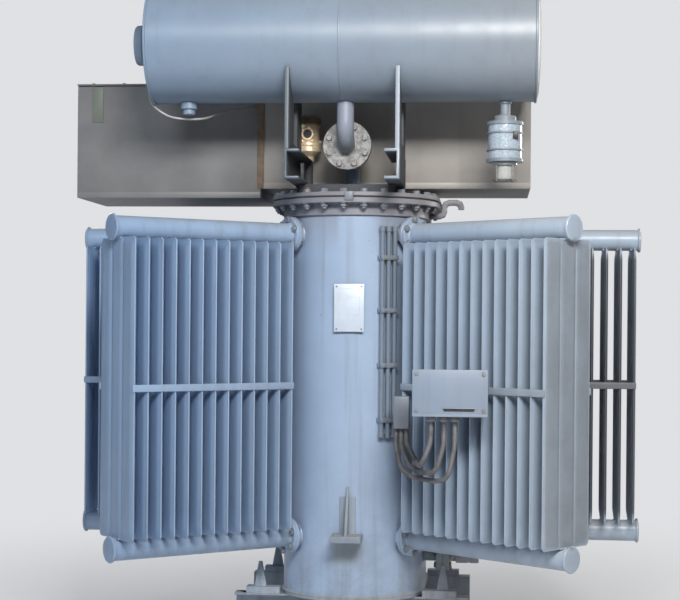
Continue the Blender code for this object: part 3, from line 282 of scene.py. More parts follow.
def two_tone(name, first, second, scale, detail, climb=(0.0, 1.0), share=1.0, roughness=0.5, rougher=0.0,
             metallic=0.0, wave=0.0):
    """A finish that varies between two colours with one noise."""
    finish = Finish(name, roughness, metallic)
    cloud = finish.noise(scale, detail).above(*climb)
    finish.set(base_color=finish.blend(cloud * share, first, second))
    if rougher:
        finish.set(roughness=roughness + rougher * cloud)
    if wave:
        finish.bump(cloud, wave)
    return finish.material


def zinc():
    finish = Finish("dull_zinc", metallic=0.30)
    bloom = finish.noise(120.0, 4.0).above(0.35, 0.75)
    warmth = finish.noise(30.0, 3.0).above(0.45, 0.7)
    tone = finish.blend(bloom, (0.30, 0.30, 0.31), (0.17, 0.165, 0.16))
    tone = finish.blend(warmth * 0.35, tone, (0.30, 0.20, 0.12))
    finish.set(base_color=tone, roughness=0.46 + 0.25 * bloom)
    finish.bump(bloom, 0.0002)
    return finish.material


tank_paint = enamel("tank_enamel")
base_paint = enamel("base_enamel", (0.345, 0.385, 0.440), (0.185, 0.200, 0.220), 0.45, 0.8, gloss=0.46)
bolt_paint = enamel("bolt_enamel", (0.225, 0.240, 0.275), (0.120, 0.120, 0.130), rust=0.7, gloss=0.40)
dull_zinc = zinc()
# Black paint, also used as painted shade in the drip slot and the relief valve's socket.
black_paint_and_shade = two_tone("black_paint_and_shade", (0.020, 0.020, 0.022), (0.060, 0.058, 0.055), 90.0, 3.0, (0.4, 0.75),
                       roughness=0.45)


# Steelwork. Rolled channels, flats and folded boxes keep the outline of their solids and get the
# small round edges that rolling, grinding and paint leave, so that they catch the light.
SMOOTH_ANGLE = radians(35)
MERGE = 0.00001
CREASE = radians(40)


def add_piece(name, solid, material, *nodes, slot="paint"):
    """Makes a piece from a bmesh. It rides on the body and stands for the nodes that are named."""
    mesh = as_mesh(solid, name)
    mesh.shade_smooth()
    mesh.set_sharp_from_angle(angle=SMOOTH_ANGLE)
    mesh.materials.append(material)
    piece = bpy.data.objects.new(name, mesh)
    bpy.context.collection.objects.link(piece)
    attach(piece, "root")
    if nodes:
        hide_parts(*nodes)
    return piece


def round_edges(solid, width, steps=2):
    edges = [edge for edge in solid.edges if edge.is_manifold and edge.calc_face_angle() > CREASE]
    bmesh.ops.bevel(solid, geom=edges, offset=width, offset_type="OFFSET", segments=steps, profile=0.5,
                    affect="EDGES", clamp_overlap=True, material=-1)
    return solid


def soften(nodes, width, material, slot="paint"):
    """Each node's own outline with its sharp edges rounded off."""
    for node in nodes:
        solid = bmesh.new()
        solid.from_mesh(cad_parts[node].data)
        bmesh.ops.remove_doubles(solid, verts=solid.verts, dist=MERGE)
        bmesh.ops.dissolve_limit(solid, angle_limit=radians(1), verts=solid.verts, edges=solid.edges)
        round_edges(solid, width)
        add_piece(f"{node}_plate", solid, material, node, slot=slot)


def carried(solid, way):
    bmesh.ops.translate(solid, vec=way, verts=solid.verts)
    return solid


def middle(low, high):
    """The point halfway between two corners."""
    return Vector([(a + b) / 2 for a, b in zip(low, high)])


def bar(low, high, edge=0.0, steps=2):
    solid = bmesh.new()
    bmesh.ops.create_cube(solid, size=1.0)
    bmesh.ops.scale(solid, vec=[b - a for a, b in zip(low, high)], verts=solid.verts)
    carried(solid, middle(low, high))
    return round_edges(solid, edge, steps) if edge else solid


def strip(left, right, bottom, top, face, out, back=0.001, edge=0.001, steps=2):
    """A flat strip that stands out of a front face and reaches back into it."""
    return bar((left, face - out, bottom), (right, face + back, top), edge, steps)


def turned(profile, sides=48):
    """A solid turned about Z from (radius, height) points that start and end on the axis."""
    solid = bmesh.new()
    line = [solid.verts.new((radius, 0, height)) for radius, height in profile]
    edges = [solid.edges.new(pair) for pair in zip(line, line[1:])]
    bmesh.ops.spin(solid, geom=line + edges, cent=(0, 0, 0), axis=(0, 0, 1), angle=2 * pi, steps=sides,
                   use_merge=True)
    bmesh.ops.remove_doubles(solid, verts=solid.verts, dist=MERGE)
    bmesh.ops.recalc_face_normals(solid, faces=solid.faces)
    return solid


def rod(radius, low, high, sides=48):
    return turned([(0, low), (radius, low), (radius, high), (0, high)], sides)


def ring(profile, sides=48, radius=0.0):
    """A ring turned about Z from a closed profile, whose points count from this radius."""
    return turned([(radius + out, height) for out, height in (*profile, profile[0])], sides)


def outline(radius, low, high, edge):
    """The rim of a wheel between two heights, with its corners taken off."""
    return [(radius - edge, low), (radius, low + edge), (radius, high - edge), (radius - edge, high)]


def stepped(*parts):
    """One profile from parts, each a height and the points that count from it."""
    return [(radius, base + rise) for base, points in parts for radius, rise in points]


def facing(heading):
    return Vector((0, 0, 1)).rotation_difference(Vector(heading)).to_matrix()


def aim(solid, place, heading):
    matrix = Matrix.Translation(place) @ facing(heading).to_4x4()
    bmesh.ops.transform(solid, matrix=matrix, verts=solid.verts)
    return solid


def gather(solids):
    """Several bmeshes as one."""
    whole = bmesh.new()
    for solid in solids:
        mesh = as_mesh(solid)
        whole.from_mesh(mesh)
        bpy.data.meshes.remove(mesh)
    return whole


def copies(solid, matrices):
    """One bmesh with a copy of another under each matrix; the first is used up."""
    mesh = as_mesh(solid)
    whole = bmesh.new()
    for matrix in matrices:
        before = len(whole.verts)
        whole.from_mesh(mesh)
        whole.verts.ensure_lookup_table()
        bmesh.ops.transform(whole, matrix=matrix, verts=whole.verts[before:])
    bpy.data.meshes.remove(mesh)
    return whole


soften(("skid_left", "skid_right", "cross_beam_front", "cross_beam_rear"), 0.0022, base_paint)


# Bolts. Hexagon heads with washers on one side of a joint, nuts with the stud's end on the other,
# painted over with what they hold or left in dull zinc.
BOLT_CHAMFER = 0.16
BOLT_TURN = 0.7
WASHER_SHARE = 0.16
HEAD_MIDDLE = 0.6
STUD_SHARE = 0.55


def hexagon(radius, height, washer=1.35, stud=0.0):
    """A head or nut of this corner radius standing on Z = 0."""
    solids = [rod(radius * washer, 0, height * WASHER_SHARE, 20)]
    head = bmesh.new()
    bmesh.ops.create_cone(head, cap_ends=True, segments=6, radius1=radius, radius2=radius, depth=height)
    carried(head, (0, 0, height * HEAD_MIDDLE))
    rim = [edge for edge in head.edges if all(end.co.z > height for end in edge.verts)]
    bmesh.ops.bevel(head, geom=rim, offset=radius * BOLT_CHAMFER, offset_type="OFFSET", segments=1,
                    profile=0.5, affect="EDGES", clamp_overlap=True, material=-1)
    solids.append(head)
    if stud:
        tip = radius * STUD_SHARE
        top = height * 1.1 + stud
        end = [(0, height), (tip, height), (tip, top - tip * 0.2), (tip * 0.8, top), (0, top)]
        solids.append(turned(end, 12))
    return gather(solids)


def place_all(solid, places):
    """Copies of a bmesh at (point, heading) places, each turned on by the same step."""
    return copies(solid, [Matrix.Translation(point) @ facing(heading).to_4x4()
                          @ Matrix.Rotation(number * BOLT_TURN, 4, "Z")
                          for number, (point, heading) in enumerate(places)])


def add_bolts(name, material, *groups, slot="paint"):
    """A piece of many fasteners. Each group is one of them and its places."""
    add_piece(name, gather([place_all(*group) for group in groups]), material, slot=slot)


def circle_places(centre, heading, radius, count, start=0.0):
    """Even places round a circle that faces a heading, each pointing along it."""
    angles = [start + 2 * pi * number / count for number in range(count)]
    turn = facing(heading)
    return [(Vector(centre) + turn @ Vector((radius * cos(angle), radius * sin(angle), 0)), heading)
            for angle in angles]


# Tank. A plate rolled into an oval wall and welded to a floor plate, with a bolting rim and collar
# round the top, a cork gasket and a flat cover held by bolts all the way round. A clamp block and
# a plug in red primer sit at its front.
TANK_RADIUS = 0.250
TANK_STRAIGHT = 0.310
OVAL_SIDES = 128
RIM_WIDTH = 0.050
RIM_THICKNESS = 0.018
COLLAR_WIDTH = 0.010
COLLAR_HEIGHT = 0.041
GASKET_INSET = 0.004
RIM_BOLTS = 34
BOLT_LINE = 0.030
WALL_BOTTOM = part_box("tank_body")[0][2]
WALL_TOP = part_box("tank_body")[1][2]
COVER_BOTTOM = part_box("tank_cover")[0][2]
COVER_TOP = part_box("tank_cover")[1][2]
FRONT_CENTRE = -TANK_STRAIGHT / 2
WALL_SEAM = 0.0045
PLATE_ROUND = 0.002
RIM_GAP = 0.0003
CLAMP_BLOCK = ((-0.015, -0.461, 1.584), (0.015, -0.440, 1.615))
PLUG = ((0, 0), (0.010, 0), (0.010, 0.014), (0.008, 0.018), (0.004, 0.020), (0, 0.020))
PLUG_PLACE = (-0.150, -0.385, COVER_TOP - 0.0005)
# Painted light on the rim and cover, dark on the left and bright on the right.
RIM_LIGHT = ((0.70, 0.76, 0.86), (1.45, 1.34, 1.28))
FRONT_FACE = (-0.33, -0.24)
# A painted shadow on the wall under the rim with a lit strip at the front, and a darker green-grey patch
# under the jacking pad.
RIM_SHADOW = (0.205, 0.205, 0.235)
RIM_SHADOW_HEIGHT = (1.40, 1.56)
LIT_STRIP = ((-0.050, -0.034), (0.070, 0.125))
PAD_PATCH = (0.255, 0.270, 0.190)
PAD_PATCH_WIDTH = ((-0.066, -0.040), (0.030, 0.052))
PAD_PATCH_HEIGHT = ((0.315, 0.355), (0.400, 0.420))


def wall_shade(finish, tone, cloud, light_ramp):
    """Painted shadow under the rim, left off in a lit strip at the front, and a darker green-grey patch
    under the jacking pad.
    """
    x, z = finish.along("X"), finish.along("Z")
    front = 1.0 - finish.along("Y").above(*FRONT_FACE)
    shadowed = z.above(*RIM_SHADOW_HEIGHT) * front * (1.0 - 0.92 * x.between(*LIT_STRIP))
    tone = finish.blend(shadowed * (0.75 + 0.25 * cloud) * 0.80, tone, RIM_SHADOW)
    pad_patch = x.between(*PAD_PATCH_WIDTH) * z.between(*PAD_PATCH_HEIGHT) * front
    return finish.blend(pad_patch * (0.6 + 0.4 * cloud) * 0.55, tone, PAD_PATCH), 0.0


# The rim and cover's enamel is a darkened grey copy of the tank's, a painted shade.
rim_paint = enamel("rim_enamel", (0.230, 0.240, 0.272), (0.150, 0.150, 0.168), 0.45, dust=0.35,
                   light_tints=RIM_LIGHT, span=0.45)


def oval_loop(solid, radius, level):
    """Adds the edges of an oval with its long axis on Y."""
    made = bmesh.ops.create_circle(solid, segments=OVAL_SIDES, radius=radius)["verts"]
    bmesh.ops.rotate(solid, matrix=Matrix.Rotation(pi / OVAL_SIDES, 3, "Z"), verts=made)
    for corner in made:
        corner.co.y += copysign(TANK_STRAIGHT / 2, corner.co.y)
        corner.co.z = level
    return list({edge for corner in made for edge in corner.link_edges})


def oval_ring(profile, closed=True):
    """A ring round the tank from (distance from the wall, height) points."""
    solid = bmesh.new()
    loops = [oval_loop(solid, TANK_RADIUS + offset, level) for offset, level in profile]
    pairs = list(zip(loops, loops[1:]))
    if closed:
        pairs.append((loops[-1], loops[0]))
    for low, high in pairs:
        bmesh.ops.bridge_loops(solid, edges=low + high)
    if not closed:
        bmesh.ops.contextual_create(solid, geom=loops[0])
        bmesh.ops.contextual_create(solid, geom=loops[-1])
    bmesh.ops.recalc_face_normals(solid, faces=solid.faces)
    return solid


def oval_slab(offset, bottom, top, edge):
    return oval_ring(outline(offset, bottom, top, edge), closed=False)


def oval_places(level, direction):
    """The bolts' places, evenly along the bolt line."""
    radius = TANK_RADIUS + BOLT_LINE
    arc = pi * radius
    whole = 2 * arc + 2 * TANK_STRAIGHT
    places = []
    for number in range(RIM_BOLTS):
        run = whole * number / RIM_BOLTS - arc / 2
        side, run = (1, run) if run < arc / 2 + TANK_STRAIGHT else (-1, run - arc - TANK_STRAIGHT)
        if run < arc / 2:
            angle = run / radius
            x, y = side * radius * sin(angle), side * (FRONT_CENTRE - radius * cos(angle))
        else:
            x, y = side * radius, side * (FRONT_CENTRE + run - arc / 2)
        places.append((Vector((x, y, level)), direction))
    return places


def build_tank():
    low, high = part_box("tank_floor")
    solid = oval_slab((high[0] - low[0]) / 2 - TANK_RADIUS, low[2], high[2], 0.0015)
    add_piece("tank_floor_plate", solid, base_paint, "tank_floor")
    under = WALL_TOP - RIM_THICKNESS
    collar = under - COLLAR_HEIGHT
    profile = [(RIM_GAP, collar), *outline(COLLAR_WIDTH, collar, under, PLATE_ROUND)[:3],
               (COLLAR_WIDTH + PLATE_ROUND, under), *outline(RIM_WIDTH, under, WALL_TOP, PLATE_ROUND),
               (RIM_GAP, WALL_TOP)]
    add_piece("rim_flange", oval_ring(profile), rim_paint, "tank_rim")
    low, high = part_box("cover_gasket")
    solid = oval_slab(RIM_WIDTH - GASKET_INSET, low[2], high[2], 0.001)
    cork = two_tone("cork_rubber", (0.028, 0.026, 0.024), (0.085, 0.066, 0.050), 420.0, 3.0,
                    roughness=0.85, wave=0.0006)
    add_piece("cork_gasket", solid, cork, "cover_gasket", slot="gasket")
    solid = oval_slab(RIM_WIDTH, COVER_BOTTOM, COVER_TOP, PLATE_ROUND)
    add_piece("cover_plate", solid, rim_paint, "tank_cover")
    add_bolts("rim_bolts", bolt_paint, (hexagon(0.0135, 0.011), oval_places(COVER_TOP, (0, 0, 1))),
              (hexagon(0.0135, 0.012, stud=0.007), oval_places(under, (0, 0, -1))))
    bead = [(-0.0005, WALL_BOTTOM), (-0.0005, WALL_BOTTOM + 0.008), (WALL_SEAM * 0.5, WALL_BOTTOM + 0.0035),
            (WALL_SEAM * 1.6, WALL_BOTTOM - 0.0002), (WALL_SEAM, WALL_BOTTOM - 0.0004)]
    add_piece("floor_weld", oval_ring(bead), base_paint)
    add_piece("rim_clamp", bar(*CLAMP_BLOCK, 0.003), bolt_paint)
    primer = two_tone("primer_red_iron", (0.230, 0.085, 0.055), RUST, 60.0, 5.0, (0.35, 0.7),
                      roughness=0.6, rougher=0.3, wave=0.0003)
    add_piece("cover_plug", carried(turned(PLUG, 20), PLUG_PLACE), primer)


build_tank()


# Radiators. Six banks of thirteen pressed panels. Each panel is two sheets seam-welded at their
# edges and between three swelling flutes, pinched at the ends, and welded into two round headers.
FIN_COUNT = 13
FIN_PITCH = 0.050
FIN_WIDTH = 0.240
FIN_FLUTES = 3
FLUTE_POWER = 4.6
FIN_CREST = 0.0075
FIN_SEAM = 0.0025
FIN_EDGE = 0.0035
FIN_COLUMNS = 48
FIN_CORNER = 0.009
FIN_PINCH = (0.0, 0.006, 0.014, 0.022, 0.032, 0.046)
FIRST_FIN = 0.0945
LAST_FIN = FIRST_FIN + (FIN_COUNT - 1) * FIN_PITCH
FIN_BITE = 0.004
FIN_BEAD = ((-0.003, -0.030, -0.0035), (0.003, 0.030, 0.0035))
HEADER_RADIUS = 0.038
HEADER_LEVELS = (0.416, 1.4725)
HEADER_END = 0.020
HEADER_CAP_RADIUS = 0.044
HEADER_CAP_THICKNESS = 0.010
STUB_LENGTH = 0.030
SIDE_STUB_LENGTH = 0.083
STUB_WELD = ((-0.002, -0.004), (0.007, -0.004), (0.006, 0.0012), (0.002, 0.0058), (-0.002, 0.007))
FLANGE_RADIUS = 0.062
FLANGE_THICKNESS = 0.012
FLANGE_ROUND = 0.0018
FLANGE_BOLTS = (0.051, 6, pi / 6)
STAY_LEVEL = 0.94725
STAY_WIDTH = 0.024
STAY_THICKNESS = 0.005
CORNER_ANGLE = radians(39.5)
SEAT_GAP = 0.0003
DEPTH_START = 0.002
DEPTH_FADE = 0.012
# Painted light across the fins, and painted shade deep between them and on a bank's outer faces.
FIN_LIGHT = ((0.76, 0.86, 0.96), (1.14, 1.09, 1.0))
FIN_GAP_SHADE = ((0.225, 0.350, 0.550), (0.235, 0.282, 0.338))
OUTER_FACE_SHADE = (0.175, 0.190, 0.210)
# Painted shade on the right-hand side bank's fins, between the headers.
SIDE_BANK_SHADE = (0.050, 0.052, 0.060)
BETWEEN_HEADERS = ((0.455, 0.500), (1.395, 1.435))


def fin_shade(finish, tone, cloud, light_ramp):
    """Painted shade on a bank's outer faces, and deep between its fins."""
    outer = finish.add("Attribute", {}, out="Fac", attribute_name="outer") * light_ramp
    tone = finish.blend(outer * (0.62 + 0.2 * cloud), tone, OUTER_FACE_SHADE)
    inner = finish.add("Attribute", {}, out="Fac", attribute_name="depth")
    tone = finish.blend(inner * (0.70 + 0.20 * cloud), tone, finish.blend(light_ramp, *FIN_GAP_SHADE))
    return tone, 0.25 * inner


def shade_side_bank(finish, tone, cloud, light_ramp):
    """Painted shade on the fins of the right-hand side bank."""
    between = finish.along("Z").between(*BETWEEN_HEADERS)
    return finish.blend(between * light_ramp * 0.92, tone, SIDE_BANK_SHADE), 0.0


def radiator_sites():
    """Name, place on the wall, outward heading and stub length of each radiator."""
    sites = []
    for end, way in (("front", -1), ("rear", 1)):
        for side, sign in (("left", -1), ("right", 1)):
            heading = Vector((sign * cos(CORNER_ANGLE), way * sin(CORNER_ANGLE), 0))
            place = Vector((0, way * TANK_STRAIGHT / 2, 0)) + heading * TANK_RADIUS
            sites.append((f"{end}_{side}", place, heading, STUB_LENGTH))
    for side, sign in (("left", -1), ("right", 1)):
        heading = Vector((sign, 0, 0))
        sites.append((f"side_{side}", heading * TANK_RADIUS, heading, SIDE_STUB_LENGTH))
    return sites


def flute_height(along):
    """Half the panel's thickness at a place along its width."""
    half = FIN_WIDTH / 2 - FIN_EDGE
    if abs(along) >= half:
        return FIN_SEAM
    share = (along + half) / (2 * half) * FIN_FLUTES % 1
    return FIN_SEAM + (FIN_CREST - FIN_SEAM) * (1 - abs(2 * share - 1) ** FLUTE_POWER)


def fin_panel(bottom, top):
    """One panel: a grid for one sheet, swelled by its flutes, closed at the border and mirrored."""
    last = len(FIN_PINCH) - 1
    rows = 2 * last + 1
    solid = bmesh.new()
    bmesh.ops.create_grid(solid, x_segments=FIN_COLUMNS, y_segments=rows, size=1.0)
    for corner in solid.verts:
        along = corner.co.x * FIN_WIDTH / 2
        row = round((corner.co.y + 1) / 2 * rows)
        step = min(row, rows - row)
        inset = FIN_PINCH[step] + max(abs(along) - (FIN_WIDTH / 2 - FIN_CORNER), 0)
        rise = sin(pi / 2 * max(step - 1, 0) / (last - 1))
        over_header = max(0, 1 - (abs(along) / (HEADER_RADIUS * 1.1)) ** 4)
        swell = max(rise, 0.75 * over_header)
        level = bottom + inset if row < rows / 2 else top - inset
        corner.co = (FIN_SEAM + (flute_height(along) - FIN_SEAM) * swell, along, level)
    border = [edge for edge in solid.edges if edge.is_boundary]
    moved = bmesh.ops.extrude_edge_only(solid, edges=border)["geom"]
    for corner in (item for item in moved if isinstance(item, bmesh.types.BMVert)):
        corner.co.x = 0
    sheet = [*solid.verts, *solid.edges, *solid.faces]
    bmesh.ops.mirror(solid, geom=sheet, axis="X", merge_dist=MERGE)
    bmesh.ops.remove_doubles(solid, verts=solid.verts, dist=MERGE)
    bmesh.ops.recalc_face_normals(solid, faces=solid.faces)
    return solid


def header_profile(length):
    """From the flange on Z = 0 along the header to its domed end cap."""
    pipe, cap, edge = HEADER_RADIUS, HEADER_CAP_RADIUS, FLANGE_ROUND
    rim = length + HEADER_CAP_THICKNESS
    return [(0, 0), *outline(FLANGE_RADIUS, 0, FLANGE_THICKNESS, edge), (pipe + 0.005, FLANGE_THICKNESS),
            (pipe, FLANGE_THICKNESS + 0.005), (pipe, length - 0.003), (pipe + 0.003, length),
            (cap - edge, length), (cap, length + edge), (cap, rim - 0.004), (cap - 0.003, rim - 0.001),
            (cap * 0.6, rim), (0, rim)]


def radiator_bank():
    """One whole radiator with its flanges towards the tank at X = the stub's end."""
    begin = STUB_LENGTH + SEAT_GAP
    bottom = HEADER_LEVELS[0] + HEADER_RADIUS - FIN_BITE
    top = HEADER_LEVELS[1] - HEADER_RADIUS + FIN_BITE
    header = header_profile(LAST_FIN + HEADER_END - begin)
    solids = [aim(turned(header), (begin, 0, level), (1, 0, 0)) for level in HEADER_LEVELS]
    fins = [FIRST_FIN + number * FIN_PITCH for number in range(FIN_COUNT)]
    solids.append(copies(fin_panel(bottom, top), [Matrix.Translation((x, 0, 0)) for x in fins]))
    welds = [Matrix.Translation((x + side, 0, level)) for x in fins for side in (-0.006, 0.006)
             for level in (bottom + 0.002, top - 0.002)]
    solids.append(copies(bar(*FIN_BEAD, 0.0022, 1), welds))
    for side in (-1, 1):
        inner, outer = sorted((side * (FIN_WIDTH / 2 - 0.002), side * (FIN_WIDTH / 2 + STAY_THICKNESS)))
        solids.append(bar((FIRST_FIN - FIN_CREST, inner, STAY_LEVEL - STAY_WIDTH / 2),
                          (LAST_FIN + FIN_CREST, outer, STAY_LEVEL + STAY_WIDTH / 2), 0.0036, 3))
    return gather(solids)


def mark_fins(bank):
    """Tells the paint how deep between the fins a point lies, and whether it faces outwards."""
    depth = bank.verts.layers.float.new("depth")
    outer = bank.verts.layers.float.new("outer")
    for corner in bank.verts:
        out = abs(corner.co.x - (FIRST_FIN + LAST_FIN) / 2) - (LAST_FIN - FIRST_FIN) / 2
        within = HEADER_LEVELS[0] + HEADER_RADIUS < corner.co.z < HEADER_LEVELS[1] - HEADER_RADIUS
        inside = (FIN_WIDTH / 2 - DEPTH_START - abs(corner.co.y)) / DEPTH_FADE
        corner[depth] = min(max(inside, 0), 1) if within and out < FIN_CREST / 2 else 0
        corner[outer] = 1 if within and out > FIN_CREST / 2 else 0


def stub(foot, heading, reach):
    """A short pipe from the wall to its flange, with the weld bead where it leaves the wall."""
    face = reach - FLANGE_THICKNESS
    pipe = turned([(0, -HEADER_RADIUS), (HEADER_RADIUS, -HEADER_RADIUS), (HEADER_RADIUS, face),
                   *outline(FLANGE_RADIUS, face, reach, FLANGE_ROUND), (0, reach)], 40)
    bead = ring(STUB_WELD, 40, HEADER_RADIUS)
    if abs(heading.y) > 0:
        for corner in bead.verts:
            corner.co.z -= TANK_RADIUS - sqrt(TANK_RADIUS**2 - corner.co.y**2)
    whole = gather([pipe, bead])
    side = Vector((0, 0, 1)).cross(heading)
    turn = Matrix((Vector((0, 0, 1)), side, heading)).transposed().to_4x4()
    bmesh.ops.transform(whole, matrix=Matrix.Translation(foot) @ turn, verts=whole.verts)
    bmesh.ops.recalc_face_normals(whole, faces=whole.faces)
    return whole


def build_radiators():
    thin = {"streaks": 0.24, "wave": 0.0006, "light_tints": FIN_LIGHT}
    fin_paint = enamel("radiator_enamel", marks=(fin_shade,), **thin)
    side_paint = enamel("shaded_enamel", marks=(shade_side_bank, fin_shade), **thin)
    wall_paint = enamel("wall_enamel", marks=(wall_shade,))
    bank = radiator_bank()
    mark_fins(bank)
    master = as_mesh(bank)
    heads = []
    nuts = []
    wall = [oval_ring([(0, WALL_BOTTOM), (0, WALL_TOP)], closed=False)]
    for name, place, heading, reach in radiator_sites():
        solid = bmesh.new()
        solid.from_mesh(master)
        shift = Matrix.Translation(place + heading * (reach - STUB_LENGTH))
        turn = Matrix.Rotation(atan2(heading.y, heading.x), 4, "Z")
        bmesh.ops.transform(solid, matrix=shift @ turn, verts=solid.verts)
        paint = side_paint if name.startswith("side") else fin_paint
        add_piece(f"panels_{name}", solid, paint, f"radiator_{name}")
        for level in HEADER_LEVELS:
            foot = place + Vector((0, 0, level))
            joint = foot + heading * reach
            heads += circle_places(joint + heading * (SEAT_GAP + FLANGE_THICKNESS), heading, *FLANGE_BOLTS)
            nuts += circle_places(joint - heading * FLANGE_THICKNESS, -heading, *FLANGE_BOLTS)
            wall.append(stub(foot, heading, reach))
    bpy.data.meshes.remove(master)
    add_bolts("flange_bolts", bolt_paint, (hexagon(0.0105, 0.008), heads),
              (hexagon(0.0105, 0.009, washer=1.2), nuts))
    add_piece("tank_wall", gather(wall), wall_paint, "tank_body")


build_radiators()


# Wall fittings. Jacking pads with a gusset, burnt off plate and welded to the rounded ends, and a
# blank aluminium plate riveted to its bracket at eye height.
RIVET_INSET = 0.009
RIVET = ((0, 0), (0.0032, 0), (0.00272, 0.0012), (0.00128, 0.0021), (0, 0.0023))
TABLE_INSET = 0.016
TABLE_LINE = 0.0009
TABLE_ROW = 0.022
TABLE_HEAD = 0.030


def plate_finish():
    finish = Finish("satin_aluminium", metallic=0.10)
    grain = finish.noise(60.0, 3.0, stretch=(1.0, 1.0, 14.0))
    wear = finish.noise(34.0, 5.0, rough=0.7).above(0.40, 0.72)
    stain = finish.noise(14.0, 4.0).above(0.52, 0.74)
    tone = finish.blend(wear * 0.35, (0.57, 0.63, 0.72), (0.47, 0.53, 0.62))
    tone = finish.blend(stain * 0.25, tone, (0.40, 0.41, 0.42))
    finish.set(base_color=tone, roughness=0.34 + 0.16 * grain + 0.2 * stain)
    finish.bump(grain + wear, 0.0002)
    return finish.material


def table_lines(low, high):
    """A raised border and the empty rows and columns of a rating table."""
    left, right = low[0] + TABLE_INSET, high[0] - TABLE_INSET
    bottom, top = low[2] + TABLE_INSET, high[2] - TABLE_INSET
    half = TABLE_LINE / 2
    rows = [bottom + number * TABLE_ROW for number in range(4)]
    lines = [(left, right, level - half, level + half) for level in (*rows, top - TABLE_HEAD, top)]
    lines += [(at - half, at + half, bottom, top) for at in (left, right)]
    centre = (left + right) / 2
    return [*lines, (centre - half, centre + half, bottom, rows[-1])]


def corner_places(low, high, side, under, over):
    """Places on a box's front face, this far in from its sides, its bottom and its top."""
    return [(Vector((x, low[1], z)), (0, -1, 0)) for x in (low[0] + side, high[0] - side)
            for z in (low[2] + under, high[2] - over)]


def build_nameplate():
    low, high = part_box("nameplate")
    solids = [strip(*line, low[1], 0.0009, 0.0004, 0.0004, 1) for line in table_lines(low, high)]
    solids.append(bar(low, high, 0.0012))
    add_piece("blank_plate", gather(solids), plate_finish(), "nameplate", slot="label")
    places = corner_places(low, high, RIVET_INSET, RIVET_INSET, RIVET_INSET)
    add_bolts("plate_rivets", bolt_paint, (turned(RIVET, 16), places))


build_nameplate()
soften(("jacking_pad_front", "jacking_pad_rear", "nameplate_bracket"), 0.0018,
       enamel("pad_enamel", (0.255, 0.290, 0.345), (0.170, 0.190, 0.225), dust=0.8))


# Conservator. A rolled drum lying across the front over the cover, with dished ends let in behind
# a narrow rim, a dial gauge on its left end and a drain socket below.
DRUM_RADIUS = 0.2015
DRUM_SIDES = 96
DRUM_Y = -0.405
DRUM_Z = 2.127
DRUM_WELD = ((-0.002, -0.004), (0.0022, -0.002), (0.0028, 0.001), (0.0018, 0.0035), (-0.002, 0.005))
END_RIM = 0.004
END_PLATE = 0.008
END_DISH = 0.012
GAUGE_RADIUS = 0.070
GAUGE_DEPTH = 0.048
GAUGE_BEZEL = 0.0125
GAUGE_DIAL_DEPTH = 0.004
GAUGE_MARKS_DEPTH = 0.0034
GAUGE_TICKS = 9
GAUGE_SWEEP = radians(120)
GAUGE_NEEDLE = radians(38)

# The drum's enamel is a darker copy of the tank's, a painted shade.
drum_paint = enamel("conservator_enamel", (0.222, 0.266, 0.326), (0.150, 0.177, 0.215), 0.18, 0.25, 0.3)


def build_conservator():
    low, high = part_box("conservator_drum")
    length = high[0] - low[0]
    seam = carried(ring(DRUM_WELD, DRUM_SIDES, DRUM_RADIUS), (0, 0, length / 2))
    whole = gather([rod(DRUM_RADIUS, 0, length, DRUM_SIDES), seam])
    add_piece("drum_shell", aim(whole, (low[0], DRUM_Y, DRUM_Z), (1, 0, 0)), drum_paint, "conservator_drum")
    rim = DRUM_RADIUS + END_RIM
    dished = END_PLATE + END_DISH
    dish = [(0, 0), *outline(rim, 0, END_PLATE, 0.002)[:3], (rim - 0.0015, END_PLATE),
            (DRUM_RADIUS - 0.004, END_PLATE), (DRUM_RADIUS - 0.008, END_PLATE + 0.0012),
            (DRUM_RADIUS * 0.86, END_PLATE + END_DISH * 0.55),
            (DRUM_RADIUS * 0.6, END_PLATE + END_DISH * 0.9), (GAUGE_RADIUS, dished), (0, dished)]
    for side, way, x in (("left", -1, low[0] - SEAT_GAP), ("right", 1, high[0] + SEAT_GAP)):
        solid = aim(turned(dish, DRUM_SIDES), (x, DRUM_Y, DRUM_Z), (way, 0, 0))
        add_piece(f"drum_end_{side}", solid, drum_paint, f"conservator_end_{side}")
    low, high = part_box("conservator_drain")
    reach = high[2] - low[2]
    wide = (high[0] - low[0]) / 2
    boss = [(0, 0), (wide, 0), (wide, 0.022), (wide - 0.002, 0.024), (0.021, 0.024), (0.021, reach - 0.002),
            (0.019, reach), (0, reach)]
    solid = aim(turned(boss, 32), (middle(low, high).x, DRUM_Y, high[2]), (0, 0, -1))
    add_piece("drain_socket", solid, drum_paint, "conservator_drain")


